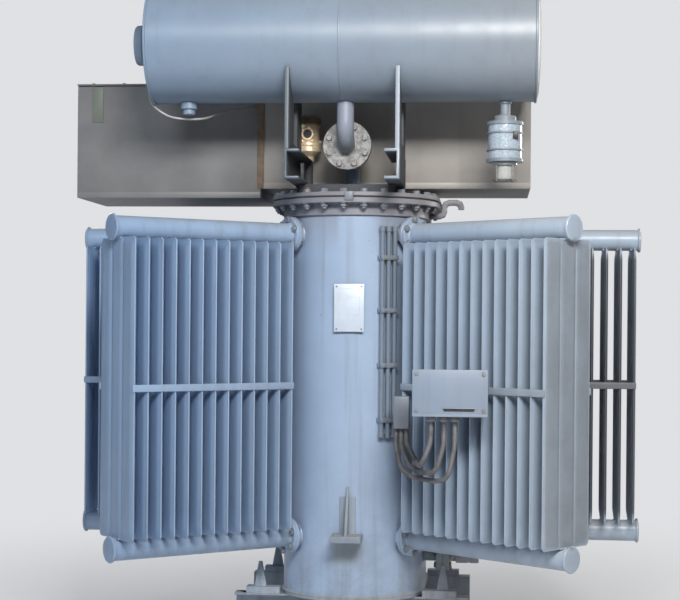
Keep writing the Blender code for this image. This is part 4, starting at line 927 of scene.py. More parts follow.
def build_gauge():
    low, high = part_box("oil_level_gauge")
    deep, wide = high[0] - low[0], GAUGE_RADIUS
    body = [(0, 0), (0.040, 0), (0.040, deep * 0.3), (wide - 0.004, deep * 0.36), (wide, deep * 0.45),
            (wide, deep * 0.88), (wide - 0.003, deep), (wide - 0.010, deep), (wide - 0.012, deep - 0.004),
            (0, deep - 0.004)]
    solid = aim(turned(body, 56), (high[0], DRUM_Y, DRUM_Z), (-1, 0, 0))
    add_piece("gauge_case", solid, drum_paint, "oil_level_gauge")
    face = wide - GAUGE_BEZEL
    dial = aim(rod(face, 0, 0.0006), (low[0] + GAUGE_DIAL_DEPTH, DRUM_Y, DRUM_Z), (-1, 0, 0))
    white = two_tone("white_dial", (0.72, 0.73, 0.71), (0.50, 0.48, 0.42), 30.0, 4.0, (0.4, 0.8), 0.4, 0.25)
    add_piece("gauge_dial", dial, white, slot="label")
    turns = [GAUGE_SWEEP * (2 * number / (GAUGE_TICKS - 1) - 1) for number in range(GAUGE_TICKS)]
    tick = bar((-0.0009, face * 0.74, 0), (0.0009, face * 0.92, 0.0005))
    needle = bar((-0.0014, -0.012, 0.0006), (0.0014, face * 0.72, 0.0012))
    marks = [copies(tick, [Matrix.Rotation(turn, 4, "Z") for turn in turns]),
             copies(needle, [Matrix.Rotation(GAUGE_NEEDLE, 4, "Z")]), rod(0.006, 0, 0.002, 20)]
    whole = aim(gather(marks), (low[0] + GAUGE_MARKS_DEPTH, DRUM_Y, DRUM_Z), (-1, 0, 0))
    add_piece("gauge_marks", whole, black_paint_and_shade, slot="conduit")


build_conservator()
build_gauge()


# Supports. Channels on two cross bars over the cover, with saddle plates that carry the drum,
# bolted down through their webs.
# Painted light across the supports, much darker on the left.
FRAME_LIGHT = ((0.24, 0.24, 0.22), (0.86, 0.80, 0.70))
# Painted shade behind the channels' front flanges.
BEHIND_FLANGE = (-0.585, -0.540)
BEHIND_SHADE = (0.045, 0.045, 0.050)
FRAME_BOLT_INSET = 0.026
CHANNEL_WEB = 0.0085
FRAME_BARS = ("support_bar_front", "support_bar_rear")


def shade_behind(finish, tone, cloud, light_ramp):
    """Painted shade on all that lies behind the channels' front flanges."""
    behind = finish.along("Y").above(*BEHIND_FLANGE)
    return finish.blend(behind * 0.85, tone, BEHIND_SHADE), 0.4 * behind


frame_paint = enamel("support_enamel", light_tints=FRAME_LIGHT, span=0.25, marks=(shade_behind,))
soften((*FRAME_BARS, "support_frame_left", "support_frame_right"), 0.0016, frame_paint)


def build_support_bolts():
    places = []
    for side, inset in (("left", FRAME_BOLT_INSET), ("right", -FRAME_BOLT_INSET)):
        low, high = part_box(f"support_frame_{side}")
        x = (low if side == "left" else high)[0] + inset
        for name in FRAME_BARS:
            y = middle(*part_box(name)).y
            places.append((Vector((x, y, low[2] + CHANNEL_WEB)), (0, 0, 1)))
    add_bolts("support_bolts", bolt_paint, (hexagon(0.011, 0.009, stud=0.006), places))


build_support_bolts()


# Oil pipe. A 60 mm pipe drops from the drum, turns back into a bolted flange and runs on through
# the cast gas relay, and an elbow takes it down to the cover.
PIPE_RADIUS = 0.030
PIPE_X = -0.019
PIPE_RUN_Z = 1.785
PIPE_BEND = 0.070
PIPE_FLANGE_RADIUS = 0.085
PIPE_FLANGE = 0.016
PIPE_BOLTS = (PIPE_FLANGE_RADIUS - 0.017, 8, pi / 8)
DISC_ROUND = 0.0015
PIPE_WELD = ((-0.002, -0.006), (0.002, -0.0055), (0.007, 0.0005), (-0.002, 0.0005))
RELAY_BACK_RADIUS = 0.060
RELAY_SHOULDER = ((0.044, 0), (0.052, 0.010))
RELAY_DOME = ((0.036, -0.026), (0.033, -0.024), (0.033, -0.016), (0.030, -0.006), (0.018, -0.001), (0, 0))
OUTLET_BEND = 0.048
OUTLET_SHOE = (0.040, 0.012)
OUTLET_BACK = 0.040
PIPE_BITE = 0.004
BEND_STEPS = 12
# Painted shade on the pipe's lower bend, fading out over this height.
BEND_SHADE_HEIGHT = (1.765, 1.845)
BEND_SHADE = (0.085, 0.110, 0.108)


def shade_on_bend(finish, tone, cloud, light_ramp):
    """Painted shade on the pipe's lower bend."""
    in_shade = 1.0 - finish.along("Z").above(*BEND_SHADE_HEIGHT)
    return finish.blend(in_shade * (0.55 + 0.2 * cloud), tone, BEND_SHADE), 0.0


def drawn(solid, faces, way):
    """Extrudes faces along a way and gives the faces at its end."""
    moved = bmesh.ops.extrude_face_region(solid, geom=faces)["geom"]
    corners = [item for item in moved if isinstance(item, bmesh.types.BMVert)]
    bmesh.ops.translate(solid, vec=way, verts=corners)
    return [item for item in moved if isinstance(item, bmesh.types.BMFace)]


def bent_pipe(start, corner, end, bend):
    """A round bar that runs straight, turns a square corner on a bend radius and runs on."""
    start, corner, end = Vector(start), Vector(corner), Vector(end)
    first, second = (corner - start).normalized(), (end - corner).normalized()
    solid = bmesh.new()
    bmesh.ops.create_circle(solid, cap_ends=True, segments=32, radius=PIPE_RADIUS)
    aim(solid, start, first)
    solid.faces.ensure_lookup_table()
    into = corner - first * bend
    cap = drawn(solid, [solid.faces[0]], into - start)
    made = bmesh.ops.spin(solid, geom=cap, cent=into + second * bend, axis=first.cross(second), angle=pi / 2,
                          steps=BEND_STEPS, use_merge=False)["geom_last"]
    cap = [item for item in made if isinstance(item, bmesh.types.BMFace)]
    drawn(solid, cap, end - (corner + second * bend))
    bmesh.ops.delete(solid, geom=[face for face in cap if face.is_valid], context="FACES_ONLY")
    bmesh.ops.remove_doubles(solid, verts=solid.verts, dist=MERGE)
    bmesh.ops.recalc_face_normals(solid, faces=solid.faces)
    return solid


def disc(radius, thickness):
    """A flange standing on Z = 0."""
    return turned([(0, 0), *outline(radius, 0, thickness, DISC_ROUND), (0, thickness)])


def flange_finish():
    finish = Finish("worn_flange_paint")
    chips = finish.noise(52.0, 5.0, rough=0.7).above(0.44, 0.60)
    cloud = finish.noise(17.0, 4.0).above(0.40, 0.66)
    tone = finish.blend(cloud * 0.8, (0.360, 0.355, 0.350), (0.165, 0.165, 0.170))
    tone = finish.blend(chips * 0.65, tone, (0.110, 0.105, 0.105))
    finish.set(base_color=tone, roughness=0.42 + 0.3 * chips)
    finish.bump(chips + 0.5 * cloud, 0.0004)
    return finish.material


def relay_finish():
    finish = Finish("cast_relay_paint", roughness=0.42)
    cloud = finish.noise(18.0, 5.0).above(0.4, 0.7)
    finish.set(base_color=finish.blend(cloud * 0.5, (0.40, 0.37, 0.36), (0.24, 0.22, 0.215)))
    finish.bump(finish.noise(160.0, 3.0), 0.0006)
    return finish.material


def on_run(y, level=PIPE_RUN_Z):
    """A point on the pipe's run, or at another level over or under it."""
    return Vector((PIPE_X, y, level))


def build_oil_pipe():
    low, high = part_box("conservator_pipe")
    run = high[1] - PIPE_FLANGE
    paint = enamel("pipe_enamel", (0.270, 0.285, 0.345), (0.190, 0.200, 0.225), 0.2, 0.3, marks=(shade_on_bend,))
    pipe = bent_pipe(on_run(DRUM_Y, high[2]), on_run(DRUM_Y), on_run(run + PIPE_BITE), PIPE_BEND)
    add_piece("oil_pipe", pipe, paint, "conservator_pipe")
    flange = gather([disc(PIPE_FLANGE_RADIUS, PIPE_FLANGE), ring(PIPE_WELD, 32, PIPE_RADIUS)])
    add_piece("pipe_flange", aim(flange, on_run(run), (0, 1, 0)), flange_finish())
    low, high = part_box("gas_relay")
    length = high[1] - low[1]
    far = length - PIPE_FLANGE
    body = [(0, 0), *outline(PIPE_FLANGE_RADIUS, 0, PIPE_FLANGE, DISC_ROUND),
            *[(radius, PIPE_FLANGE + rise) for radius, rise in RELAY_SHOULDER],
            *[(radius, far - rise) for radius, rise in reversed(RELAY_SHOULDER)],
            *outline(RELAY_BACK_RADIUS, far, length, DISC_ROUND), (0, length)]
    barrel = aim(turned(body), on_run(low[1]), (0, 1, 0))
    dome = stepped((0, ((0, 0), (0.036, 0))), (high[2] - PIPE_RUN_Z, RELAY_DOME))
    cap = carried(turned(dome, 40), on_run(middle(low, high).y))
    add_piece("relay_body", gather([barrel, cap]), relay_finish(), "gas_relay")
    add_bolts("pipe_bolts", dull_zinc,
              (hexagon(0.0115, 0.009), circle_places(on_run(run), (0, -1, 0), *PIPE_BOLTS)),
              (hexagon(0.0115, 0.009), circle_places(on_run(low[1] + PIPE_FLANGE), (0, 1, 0), *PIPE_BOLTS)))
    low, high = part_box("relay_outlet_pipe")
    y = high[1] - OUTLET_BACK
    elbow = bent_pipe(on_run(low[1] + PIPE_BITE), on_run(y), on_run(y, low[2] + PIPE_BITE), OUTLET_BEND)
    back = aim(disc(RELAY_BACK_RADIUS, PIPE_FLANGE / 2), on_run(low[1]), (0, 1, 0))
    shoe = carried(disc(*OUTLET_SHOE), on_run(y, low[2]))
    add_piece("outlet_elbow", gather([elbow, back, shoe]), tank_paint, "relay_outlet_pipe")


build_oil_pipe()


# Pressure relief valve. A cast brass body on a short painted neck, with a dark cap screwed down by
# six small bolts, a side outlet to the left and a round socket to the front.
NECK_FOOT = ((0, 0), (0.030, 0), (0.032, 0.002), (0.032, 0.010), (0.030, 0.012), (0.018, 0.012),
             (0.0165, 0.016))
NECK_HEAD = ((0.0165, -0.004), (0.018, 0), (0.018, 0.006), (0, 0.006))
BRASS_LOWER = ((0, -0.026), (0.016, -0.026), (0.020, -0.022), (0.022, -0.008), (0.032, 0.002),
               (0.040, 0.006), (0.045, 0.012), (0.045, 0.026), (0.043, 0.028), (0.045, 0.031),
               (0.045, 0.040), (0.041, 0.046), (0.0385, 0.050))
BRASS_UPPER = ((0.038, -0.050), (0.040, -0.044), (0.045, -0.038), (0.045, -0.026), (0.0435, -0.024),
               (0.0435, -0.018), (0.042, -0.012), (0.032, -0.004), (0.014, 0), (0, 0))
SPOUT = ((0, 0), (0.023, 0), (0.023, 0.006), (0.020, 0.008), (0.020, 0.0105), (0, 0.0105))
SOCKET = ((0, 0), (0.0235, 0), (0.0235, 0.008), (0.0215, 0.0105), (0.0170, 0.0105), (0.0155, 0.009),
          (0.0155, 0.004), (0, 0.004))
BRASS_RISE = 0.1535
BRANCH_REACH = 0.034
PORT_REACH = 0.0375
LUG_RISE = 0.044
LUG_CIRCLE = (0.0395, 6)
CAP_HEIGHT = (1.868, 1.880)


def brass_finish():
    finish = Finish("cast_brass", metallic=0.45)
    tarnish = finish.noise(26.0, 5.0, rough=0.7).above(0.42, 0.66)
    dirt = finish.noise(60.0, 4.0).above(0.55, 0.70)
    tone = finish.blend(tarnish * 0.40, (0.98, 0.80, 0.56), (0.50, 0.34, 0.18))
    tone = finish.blend(finish.along("Z").above(*CAP_HEIGHT) * 0.85, tone, (0.085, 0.055, 0.042))
    tone = finish.blend(dirt * 0.5, tone, (0.12, 0.08, 0.05))
    finish.set(base_color=tone, roughness=0.30 + 0.22 * tarnish + 0.2 * dirt)
    finish.bump(finish.noise(190.0, 3.0) + 0.5 * dirt, 0.0005)
    return finish.material


def build_relief_valve():
    low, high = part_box("pressure_relief_valve")
    x, y, _ = middle(low, high)
    bottom, top = COVER_TOP + BRASS_RISE, high[2]
    level = (bottom + top) / 2
    neck = carried(turned(stepped((low[2], NECK_FOOT), (bottom, NECK_HEAD)), 36), (x, y, 0))
    body = carried(turned(stepped((bottom, BRASS_LOWER), (top, BRASS_UPPER)), 44), (x, y, 0))
    outlet = aim(turned(SPOUT, 28), (x - BRANCH_REACH, y, level), (-1, 0, 0))
    front = aim(turned(SOCKET, 32), (x, y - BRANCH_REACH, level), (0, -1, 0))
    # The socket's bore is a black disc in its recess, a painted shade.
    hollow = aim(rod(0.0150, 0, 0.0015, 28), (x, y - PORT_REACH, level), (0, -1, 0))
    lugs = circle_places((x, y, bottom + LUG_RISE), (0, 0, 1), *LUG_CIRCLE)
    # The neck takes the supports' enamel, and with it their painted light and shade.
    add_piece("relief_valve_neck", neck, frame_paint)
    add_piece("relief_valve_port", hollow, black_paint_and_shade, slot="brass")
    brass = gather([body, outlet, front, place_all(hexagon(0.0075, 0.007), lugs)])
    add_piece("relief_valve_body", brass, brass_finish(), "pressure_relief_valve", slot="brass")


build_relief_valve()


# Breather. A pipe and cap under the drum carry a clear tube of pale blue silica gel held between
# rings by tie rods, with an oil cup below through which the tank breathes.
BREATHER_X = 0.530
ROD_COUNT = 4
ROD_CIRCLE = 0.0385
ROD_RADIUS = 0.003
ROD_TOP = 0.004
HOLDER_RISE = 0.008
STEM_FOOT = ((0, 0), (0.022, 0), (0.022, 0.008), (0.017, 0.012))
TUBE_RINGS = (0.036, 0.094)
WINDOW = ((0.026, -0.0575, -0.062), (0.045, -0.040, -0.036))
HOLDER = ((0.029, 0), (0.0435, 0), (0.0435, 0.003), (0.029, 0.003))


def gel_finish():
    finish = Finish("silica_gel_tube", roughness=0.12)
    sockets = {"Vector": finish.place, "Scale": 190.0}
    cell = finish.add("TexVoronoi", sockets, out="Color")
    edge = finish.add("TexVoronoi", sockets, out="Distance")
    pick = finish.add("SeparateColor", {0: cell}, out=0)
    tone = finish.blend(pick, (0.33, 0.40, 0.47), (0.44, 0.51, 0.57))
    # Darker cell edges are painted shade in the gaps between the beads.
    tone = finish.blend(edge.above(0.45, 0.85) * 0.40, tone, (0.20, 0.24, 0.29))
    finish.set(base_color=tone, coat_weight=0.8, coat_roughness=0.05)
    finish.bump(1.0 - edge, 0.0006)
    return finish.material


def cup_finish():
    finish = Finish("oil_cup_glass", roughness=0.10)
    level = finish.noise(40.0, 3.0).above(0.3, 0.8)
    tone = finish.blend(level, (0.50, 0.52, 0.50), (0.34, 0.35, 0.33))
    finish.set(base_color=tone, coat_weight=0.7, coat_roughness=0.05)
    return finish.material


def hung(solid, level):
    """A solid hung upside down under the drum from this level."""
    return aim(solid, (BREATHER_X, DRUM_Y, level), (0, 0, -1))


def build_breather():
    low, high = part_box("breather_pipe")
    reach = high[2] - low[2]
    cap = (high[0] - low[0]) / 2
    collar = ((0.017, -0.026), (0.021, -0.022), (cap - 0.003, -0.020), (cap, -0.017), (cap, 0), (0, 0))
    stem = turned(stepped((0, STEM_FOOT), (reach, collar)), 40)
    add_piece("breather_stem", hung(stem, high[2]), drum_paint, "breather_pipe")
    low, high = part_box("breather_body")
    start, tall = high[2], high[2] - low[2]
    wide = (high[0] - low[0]) / 2
    glass = wide - 0.004
    tube = hung(rod(glass, 0.0005, tall - 0.0005), start)
    add_piece("gel_tube", tube, gel_finish(), "breather_body", slot="desiccant")
    bands = []
    for at, height in ((0, 0.012), *[(at, 0.006) for at in TUBE_RINGS], (tall - 0.012, 0.012)):
        rim = outline(wide, at, at + height, 0.001)
        bands.append(ring([(glass - 0.002, at), *rim, (glass - 0.002, at + height)]))
    add_piece("tube_rings", hung(gather(bands), start), drum_paint)
    pane = carried(bar(*WINDOW, 0.0015), (BREATHER_X, DRUM_Y, start))
    add_piece("tube_window", pane, black_paint_and_shade, slot="gasket")
    low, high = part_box("breather_oil_cup")
    drop = high[2] - low[2]
    wide = (high[0] - low[0]) / 2
    cup = [(0, 0), *outline(wide, 0, 0.010, 0.001), (0.031, 0.010), (0.031, drop - 0.014),
           (0.028, drop - 0.006), (0.020, drop - 0.001), (0, drop)]
    add_piece("oil_cup", hung(turned(cup, 40), high[2]), cup_finish(), "breather_oil_cup")
    rods = [carried(ring(HOLDER, 40), (BREATHER_X, DRUM_Y, low[2] + HOLDER_RISE))]
    for place, _ in circle_places((BREATHER_X, DRUM_Y, 0), (0, 0, 1), ROD_CIRCLE, ROD_COUNT, pi / 4):
        x, y, _ = place
        tie = rod(ROD_RADIUS, 0, drop - HOLDER_RISE, 12)
        rods.append(aim(tie, (x, y, high[2] - ROD_TOP), (0, 0, -1)))
        rods.append(aim(hexagon(0.006, 0.005), (x, y, low[2] + HOLDER_RISE), (0, 0, -1)))
    add_piece("cup_rods", gather(rods), dull_zinc)


build_breather()


# Terminal box and cable box. Folded sheet behind the conservator, warm grey and a darker cool grey,
# with lapped lids held by screws, a sealed seam between the two, hems along the bottom and a short
# green-grey strip at the left.
SHEETS = (
    ("warm_grey_sheet", (0.335, 0.312, 0.290), (0.215, 0.198, 0.180), (0.40, 0.375, 0.35)),
    ("cool_grey_sheet", (0.190, 0.192, 0.197), (0.125, 0.125, 0.130), (0.25, 0.25, 0.25)),
    ("green_grey_sheet", (0.150, 0.180, 0.145), (0.105, 0.125, 0.105), (0.20, 0.22, 0.185)),
)
STRIP_X = (-0.985, -0.945)
STRIP_HEIGHT = 0.135
HEM_HEIGHT = 0.022
HEM_INSET = 0.002
SEAM_REACH = (-0.014, 0.011)
SCREW_PITCH = 0.115
SCREW_INSET = 0.024


def sheet_finish(name, sheet, sheet_dark, patch):
    finish = Finish(name)
    broad = finish.noise(1.9, 4.0).above(0.34, 0.70)
    cloud = finish.noise(6.5, 6.0, rough=0.65).above(0.40, 0.72)
    runs = finish.noise(17.0, 3.0, stretch=(1.0, 1.0, 0.05)).above(0.50, 0.80)
    tone = finish.blend(broad * 0.55, sheet, sheet_dark)
    tone = finish.blend(cloud * 0.45, tone, patch)
    tone = finish.blend(runs * 0.25, tone, (0.20, 0.155, 0.115))
    dust = finish.upward().above(0.4, 0.95) * 0.6
    tone = finish.blend(dust, tone, DUST)
    finish.set(base_color=tone, roughness=0.40 + 0.14 * cloud + 0.3 * dust)
    finish.bump(finish.noise(3.2, 2.0) + 0.03 * finish.noise(240.0, 2.0), 0.0022)
    return finish.material


def build_boxes():
    warm, grey, green = [sheet_finish(*sheet) for sheet in SHEETS]
    soften(("terminal_box_throat", "terminal_box", "terminal_box_lid"), 0.0026, warm, "sheet")
    soften(("cable_box", "cable_box_lid"), 0.0026, grey, "sheet")
    low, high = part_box("cable_box")
    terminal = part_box("terminal_box")
    front = low[1]
    rib = strip(*STRIP_X, high[2] - STRIP_HEIGHT, high[2] - 0.006, front, 0.0035, edge=0.0012)
    add_piece("box_strip", rib, green, slot="sheet")
    for name, box, paint in (("box_skirt", (low, high), grey), ("box_sill", terminal, warm)):
        (left, _, bottom), (right, _, _) = box
        hem = strip(left + HEM_INSET, right - HEM_INSET, bottom, bottom + HEM_HEIGHT, front, 0.003)
        add_piece(name, hem, paint, slot="sheet")
    left, right = [high[0] + reach for reach in SEAM_REACH]
    joint = strip(left, right, terminal[0][2], high[2] - 0.004, front, 0.0042, edge=0.0018)
    sealant = two_tone("brown_sealant", (0.215, 0.150, 0.100), (0.105, 0.075, 0.055), 28.0, 5.0,
                       (0.38, 0.68), roughness=0.62, wave=0.0008)
    add_piece("box_seam", joint, sealant, slot="sheet")
    places = []
    for node in ("terminal_box_lid", "cable_box_lid"):
        low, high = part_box(node)
        count = round((high[0] - low[0]) / SCREW_PITCH)
        pitch = (high[0] - low[0]) / count
        places += [(Vector((low[0] + (number + 0.5) * pitch, y, high[2])), (0, 0, 1))
                   for number in range(count) for y in (low[1] + SCREW_INSET, high[1] - SCREW_INSET)]
    add_bolts("lid_screws", dull_zinc, (hexagon(0.0065, 0.005), places), slot="sheet")


build_boxes()


# Control box. A small folded box on two flat arms in front of the right-hand radiator: a lapped
# lid with corner screws and a drip slot, glands underneath, and a junction box beside the tank.
GLAND_PLACES = (0.053, 0.095, 0.130)
GLAND_SETBACK = 0.046
GLAND_LENGTH = 0.024
GLAND_NUTS = (GLAND_LENGTH - 0.001, 0.012)
BOX_SCREWS = (0.014, 0.020, 0.014)
SLOT_PLACE = (0.100, 0.198)
SLOT_HEIGHT = (0.017, 0.026)


def build_control_box():
    dark_paint = enamel("junction_box_enamel", (0.170, 0.195, 0.240), (0.120, 0.135, 0.165), 0.3)
    box_paint = enamel("control_box_enamel", (0.235, 0.288, 0.378), (0.160, 0.195, 0.255), 0.2, 0.2,
                       gloss=0.32)
    soften(("control_box", "control_box_lid"), 0.0020, box_paint)
    soften(("junction_box",), 0.0020, dark_paint)
    soften(("control_box_arm_left", "control_box_arm_right"), 0.0010, tank_paint)
    low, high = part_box("control_box_lid")
    front = low[1]
    left, right = [low[0] + place for place in SLOT_PLACE]
    under, over = [low[2] + place for place in SLOT_HEIGHT]
    # The drip slot is a black strip, its dark inside a painted shade.
    recess = strip(left, right, under, over, front, 0.001, 0.002, 0.0008)
    add_piece("drip_slot", recess, black_paint_and_shade, slot="conduit")
    hood = strip(left - 0.006, right + 0.006, over, over + 0.003, front, 0.005, 0.002)
    sill = strip(low[0], high[0], low[2], low[2] + 0.008, front, 0.003, 0.002)
    add_piece("box_hood", gather([hood, sill]), box_paint)
    screws = corner_places(low, high, *BOX_SCREWS)
    low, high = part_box("control_box")
    rings = [(Vector((low[0] + place, high[1] - GLAND_SETBACK, low[2] + level)), (0, 0, -1))
             for place in GLAND_PLACES for level in GLAND_NUTS]
    add_bolts("box_screws", dull_zinc, (hexagon(0.0055, 0.004, washer=1.3), screws),
              (hexagon(0.0165, 0.008, washer=1.05), rings))


build_control_box()


# Flexible conduits. Three ribbed steel-cored hoses hang in loops from the control box's glands
# to the junction box; each is a tube whose rings follow its route and swell at every rib.
JUNCTION_PLACES = (0.0429, 0.0254, 0.0079)
JUNCTION_SETBACK = 0.030
CONDUIT_RADIUS = 0.0085
CONDUIT_SAGS = (0.109, 0.134, 0.159)
RIB_PITCH = 0.0050
RIB_DEPTH = 0.0008
RIB_SIDES = 14


def smooth_route(points, step):
    """Points about one step apart on a smooth curve through the given points."""
    points = [Vector(point) for point in points]
    padded = [points[0] * 2 - points[1], *points, points[-1] * 2 - points[-2]]
    result = []
    for before, a, b, after in zip(padded, padded[1:], padded[2:], padded[3:]):
        count = max(round((b - a).length / step), 1)
        for number in range(count):
            t = number / count
            result.append(0.5 * (2 * a + (b - before) * t + (2 * before - 5 * a + 4 * b - after) * t**2
                                 + (3 * a - before - 3 * b + after) * t**3))
    return [*result, points[-1]]


def corner_key(place):
    return tuple(round(part, 7) for part in place)


def tube_along(points, radii, sides):
    """A closed tube whose circles are extruded from point to point, each with its own radius."""
    solid = bmesh.new()
    loop = bmesh.ops.create_circle(solid, cap_ends=True, segments=sides, radius=1.0)["verts"]
    spokes = [corner.co.copy() for corner in loop]
    heading = (points[1] - points[0]).normalized()
    turn = facing(heading)
    solid.faces.ensure_lookup_table()
    cap = solid.faces[0]
    for number, point in enumerate(points):
        ahead = (points[min(number + 1, len(points) - 1)] - points[max(number - 1, 0)]).normalized()
        turn = heading.rotation_difference(ahead).to_matrix() @ turn
        heading = ahead
        if number:
            cap = drawn(solid, [cap], (0, 0, 0))[0]
            order = {corner_key(corner.co): corner for corner in cap.verts}
            loop = [order[corner_key(place)] for place in places]
        for corner, spoke in zip(loop, spokes):
            corner.co = point + turn @ (spoke * radii[number])
        places = [corner.co.copy() for corner in loop]
    bmesh.ops.recalc_face_normals(solid, faces=solid.faces)
    return solid


def add_cord(name, node, route, step, radius, material, sides, rib=0.0):
    """A hanging cord on a smooth curve through the route, with a groove at every second step."""
    points = smooth_route(route, step)
    radii = [radius - rib * (number % 2) for number in range(len(points))]
    cord = add_piece(name, tube_along(points, radii, sides), material, node, slot="conduit")
    length = sum((b - a).length for a, b in zip(points, points[1:]))


def conduit_finish():
    finish = Finish("grey_conduit_cover")
    dirt = finish.noise(24.0, 5.0).above(0.38, 0.70)
    pale = finish.noise(9.0, 3.0).above(0.50, 0.70)
    tone = finish.blend(dirt, (0.155, 0.150, 0.155), (0.085, 0.080, 0.080))
    finish.set(base_color=finish.blend(pale * 0.35, tone, (0.26, 0.25, 0.26)), roughness=0.42 + 0.2 * dirt)
    return finish.material


def build_conduits():
    cover = conduit_finish()
    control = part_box("control_box")
    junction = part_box("junction_box")
    front, back = control[1][1] - GLAND_SETBACK, junction[0][1] + JUNCTION_SETBACK
    high, entry = control[0][2] - SEAT_GAP, junction[0][2] - SEAT_GAP
    span = back - front
    for number, (gland, place, sag) in enumerate(zip(GLAND_PLACES, JUNCTION_PLACES, CONDUIT_SAGS), 1):
        start, end = control[0][0] + gland, junction[0][0] + place
        low = entry - sag
        drop, rise = high - low, sag
        route = [(start, front, high), (start, front, high - 0.23 * drop),
                 (start - 0.004, front + 0.01 * span, low + 0.50 * drop),
                 (start - 0.030, front + 0.10 * span, low + 0.08 * drop),
                 ((start + end) / 2, front + 0.51 * span, low),
                 (end + 0.030, back - 0.15 * span, low + 0.11 * rise),
                 (end + 0.004, back - 0.02 * span, low + 0.50 * rise), (end, back, entry - 0.28 * rise),
                 (end, back, entry)]
        add_cord(f"ribbed_conduit_{number}", f"flexible_conduit_{number}", route, RIB_PITCH / 2,
                 CONDUIT_RADIUS, cover, RIB_SIDES, RIB_DEPTH)


build_conduits()


# Gauge lead. A thin armoured lead that sags from the gauge under the conservator and ends in the
# cable box's front.
LEAD_RADIUS = 0.004
LEAD_INSET = 0.031
LEAD_DROP = 0.087
GAUGE_NECK = 0.040
LEAD_DOWN = Vector((0, 0, 0.047))
LEAD_ENTRY = Vector((0, 0.0247, 0.001))
LEAD_BENDS = ((-0.018, 0.0, 0.0585), (-0.0105, 0.0, 0.0065), (0.036, 0.005, -0.0335),
              (0.0895, 0.015, -0.0485), (0.169, 0.045, -0.0445), (0.2224, 0.105, -0.0145),
              (0.2724, 0.195, 0.0095))


def build_gauge_lead():
    gauge_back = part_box("oil_level_gauge")[1][0]
    end_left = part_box("conservator_end_left")[0][0]
    low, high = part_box("cable_box")
    box_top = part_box("cable_box_lid")[1][2]
    start = Vector((gauge_back - GAUGE_DEPTH * 0.18, DRUM_Y, DRUM_Z - GAUGE_NECK - SEAT_GAP))
    end = Vector((high[0] + SEAT_GAP - LEAD_INSET, low[1] - SEAT_GAP, box_top - LEAD_DROP))
    corner = Vector((end_left + END_DISH, DRUM_Y, DRUM_Z - DRUM_RADIUS - END_RIM))
    bends = [corner + Vector(bend) for bend in LEAD_BENDS]
    route = [start, start - LEAD_DOWN, *bends, end - LEAD_ENTRY, end]
    braid = two_tone("pale_lead_braid", (0.42, 0.42, 0.43), (0.24, 0.235, 0.23), 300.0, 2.0,
                     roughness=0.40, metallic=0.3, wave=0.0003)
    add_cord("armoured_lead", "gauge_lead", route, LEAD_RADIUS * 1.5, LEAD_RADIUS, braid, 12)


build_gauge_lead()


# Conduit riser. Three steel tubes run up the tank's rounded front right, held by straps with a
# screw at each side.
RISER_ANGLE = radians(30.0)
RISER_PITCH = 0.024
RISER_OFFSET = 0.018
RISER_TUBE = 0.009
RISER_SOCKET = 0.0105
RISER_ENDS = (0.77025, 1.4999)
CLAMP_LEVELS = (0.8286, 1.0183, 1.2080, 1.3904)
CLAMP_HEIGHT = 0.016
CLAMP_HALF = 1.4 * RISER_PITCH


def on_riser(angle, level):
    """A point on the tubes' circle round the front of the tank."""
    out = TANK_RADIUS + RISER_OFFSET
    return Vector((out * sin(angle), FRONT_CENTRE - out * cos(angle), level))


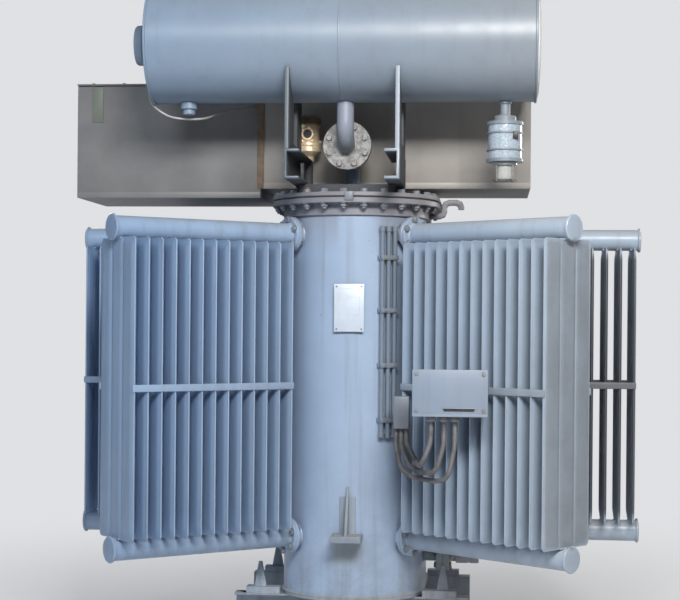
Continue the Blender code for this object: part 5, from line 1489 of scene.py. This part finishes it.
def build_riser():
    bottom, top = RISER_ENDS
    steel = RISER_TUBE - 0.001
    foot = ((0, 0), (RISER_SOCKET, 0), (RISER_SOCKET, 0.016), (steel, 0.017))
    head = ((steel, -0.020), (RISER_SOCKET, -0.019), (RISER_SOCKET, -0.002), (0.008, 0), (0, 0))
    solids = []
    for number in (-1, 0, 1):
        angle = RISER_ANGLE + number * RISER_PITCH / (TANK_RADIUS + RISER_OFFSET)
        solids.append(carried(turned(stepped((bottom, foot), (top, head)), 20), on_riser(angle, 0)))
    screws = []
    heading = Vector((sin(RISER_ANGLE), -cos(RISER_ANGLE), 0))
    for level in CLAMP_LEVELS:
        turn = Matrix.Translation(on_riser(RISER_ANGLE, level)) @ Matrix.Rotation(RISER_ANGLE, 4, "Z")
        for near, far in ((-RISER_TUBE - 0.003, -RISER_TUBE), (RISER_TUBE, RISER_OFFSET + 0.004)):
            strap = bar((-CLAMP_HALF, near, -CLAMP_HEIGHT / 2), (CLAMP_HALF, far, CLAMP_HEIGHT / 2), 0.001)
            solids.append(copies(strap, [turn]))
        screws += [(turn @ Vector((at, -RISER_TUBE - 0.003, 0)), heading)
                   for at in (-CLAMP_HALF / 2, CLAMP_HALF / 2)]
    paint = enamel("riser_enamel", (0.195, 0.238, 0.300), (0.105, 0.125, 0.155), 0.3, 0.6)
    add_piece("riser_tubes", gather(solids), paint, "conduit_riser", slot="conduit")
    add_bolts("riser_screws", dull_zinc, (hexagon(0.0048, 0.0035), screws), slot="conduit")


build_riser()


# Drain valve and vent. A flanged valve low on the right-hand wall, turned down to a round outlet
# with a groove, and a small bent pipe with a turned-down mouth under the rim.
VALVE_BODY = ((0, 0), (0.026, 0), (0.020, 0.006), (0.020, 0.048), (0.0515, 0.048), (0.053, 0.0495),
              (0.053, 0.069), (0.051, 0.0705), (0.051, 0.0715), (0.053, 0.073), (0.053, 0.0925),
              (0.0515, 0.094), (0.022, 0.094), (0.020, 0.098), (0.020, 0.117), (0.026, 0.119),
              (0.026, 0.160), (0.024, 0.162), (0.024, 0.168), (0.026, 0.170))
VALVE_END = ((0.026, -0.002), (0.024, 0), (0.015, 0), (0, 0))
VALVE_FLANGES = (0.048, 0.094)
VALVE_BOLTS = (0.039, 6, pi / 6)


def build_valve():
    low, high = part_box("drain_valve")
    x = low[0]
    _, y, z = middle(low, high)
    body = turned(stepped((0, VALVE_BODY), (high[0] - x, VALVE_END)), 44)
    add_piece("valve_body", aim(body, (x, y, z), (1, 0, 0)), base_paint, "drain_valve")
    back, front = [(x + face, y, z) for face in VALVE_FLANGES]
    heads = circle_places(front, (1, 0, 0), *VALVE_BOLTS)
    nuts = circle_places(back, (-1, 0, 0), *VALVE_BOLTS)
    add_bolts("valve_bolts", dull_zinc, (hexagon(0.009, 0.007), heads), (hexagon(0.009, 0.008), nuts))
    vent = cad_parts["vent_pipe"].data.materials
    vent.clear()
    vent.append(rim_paint)


build_valve()
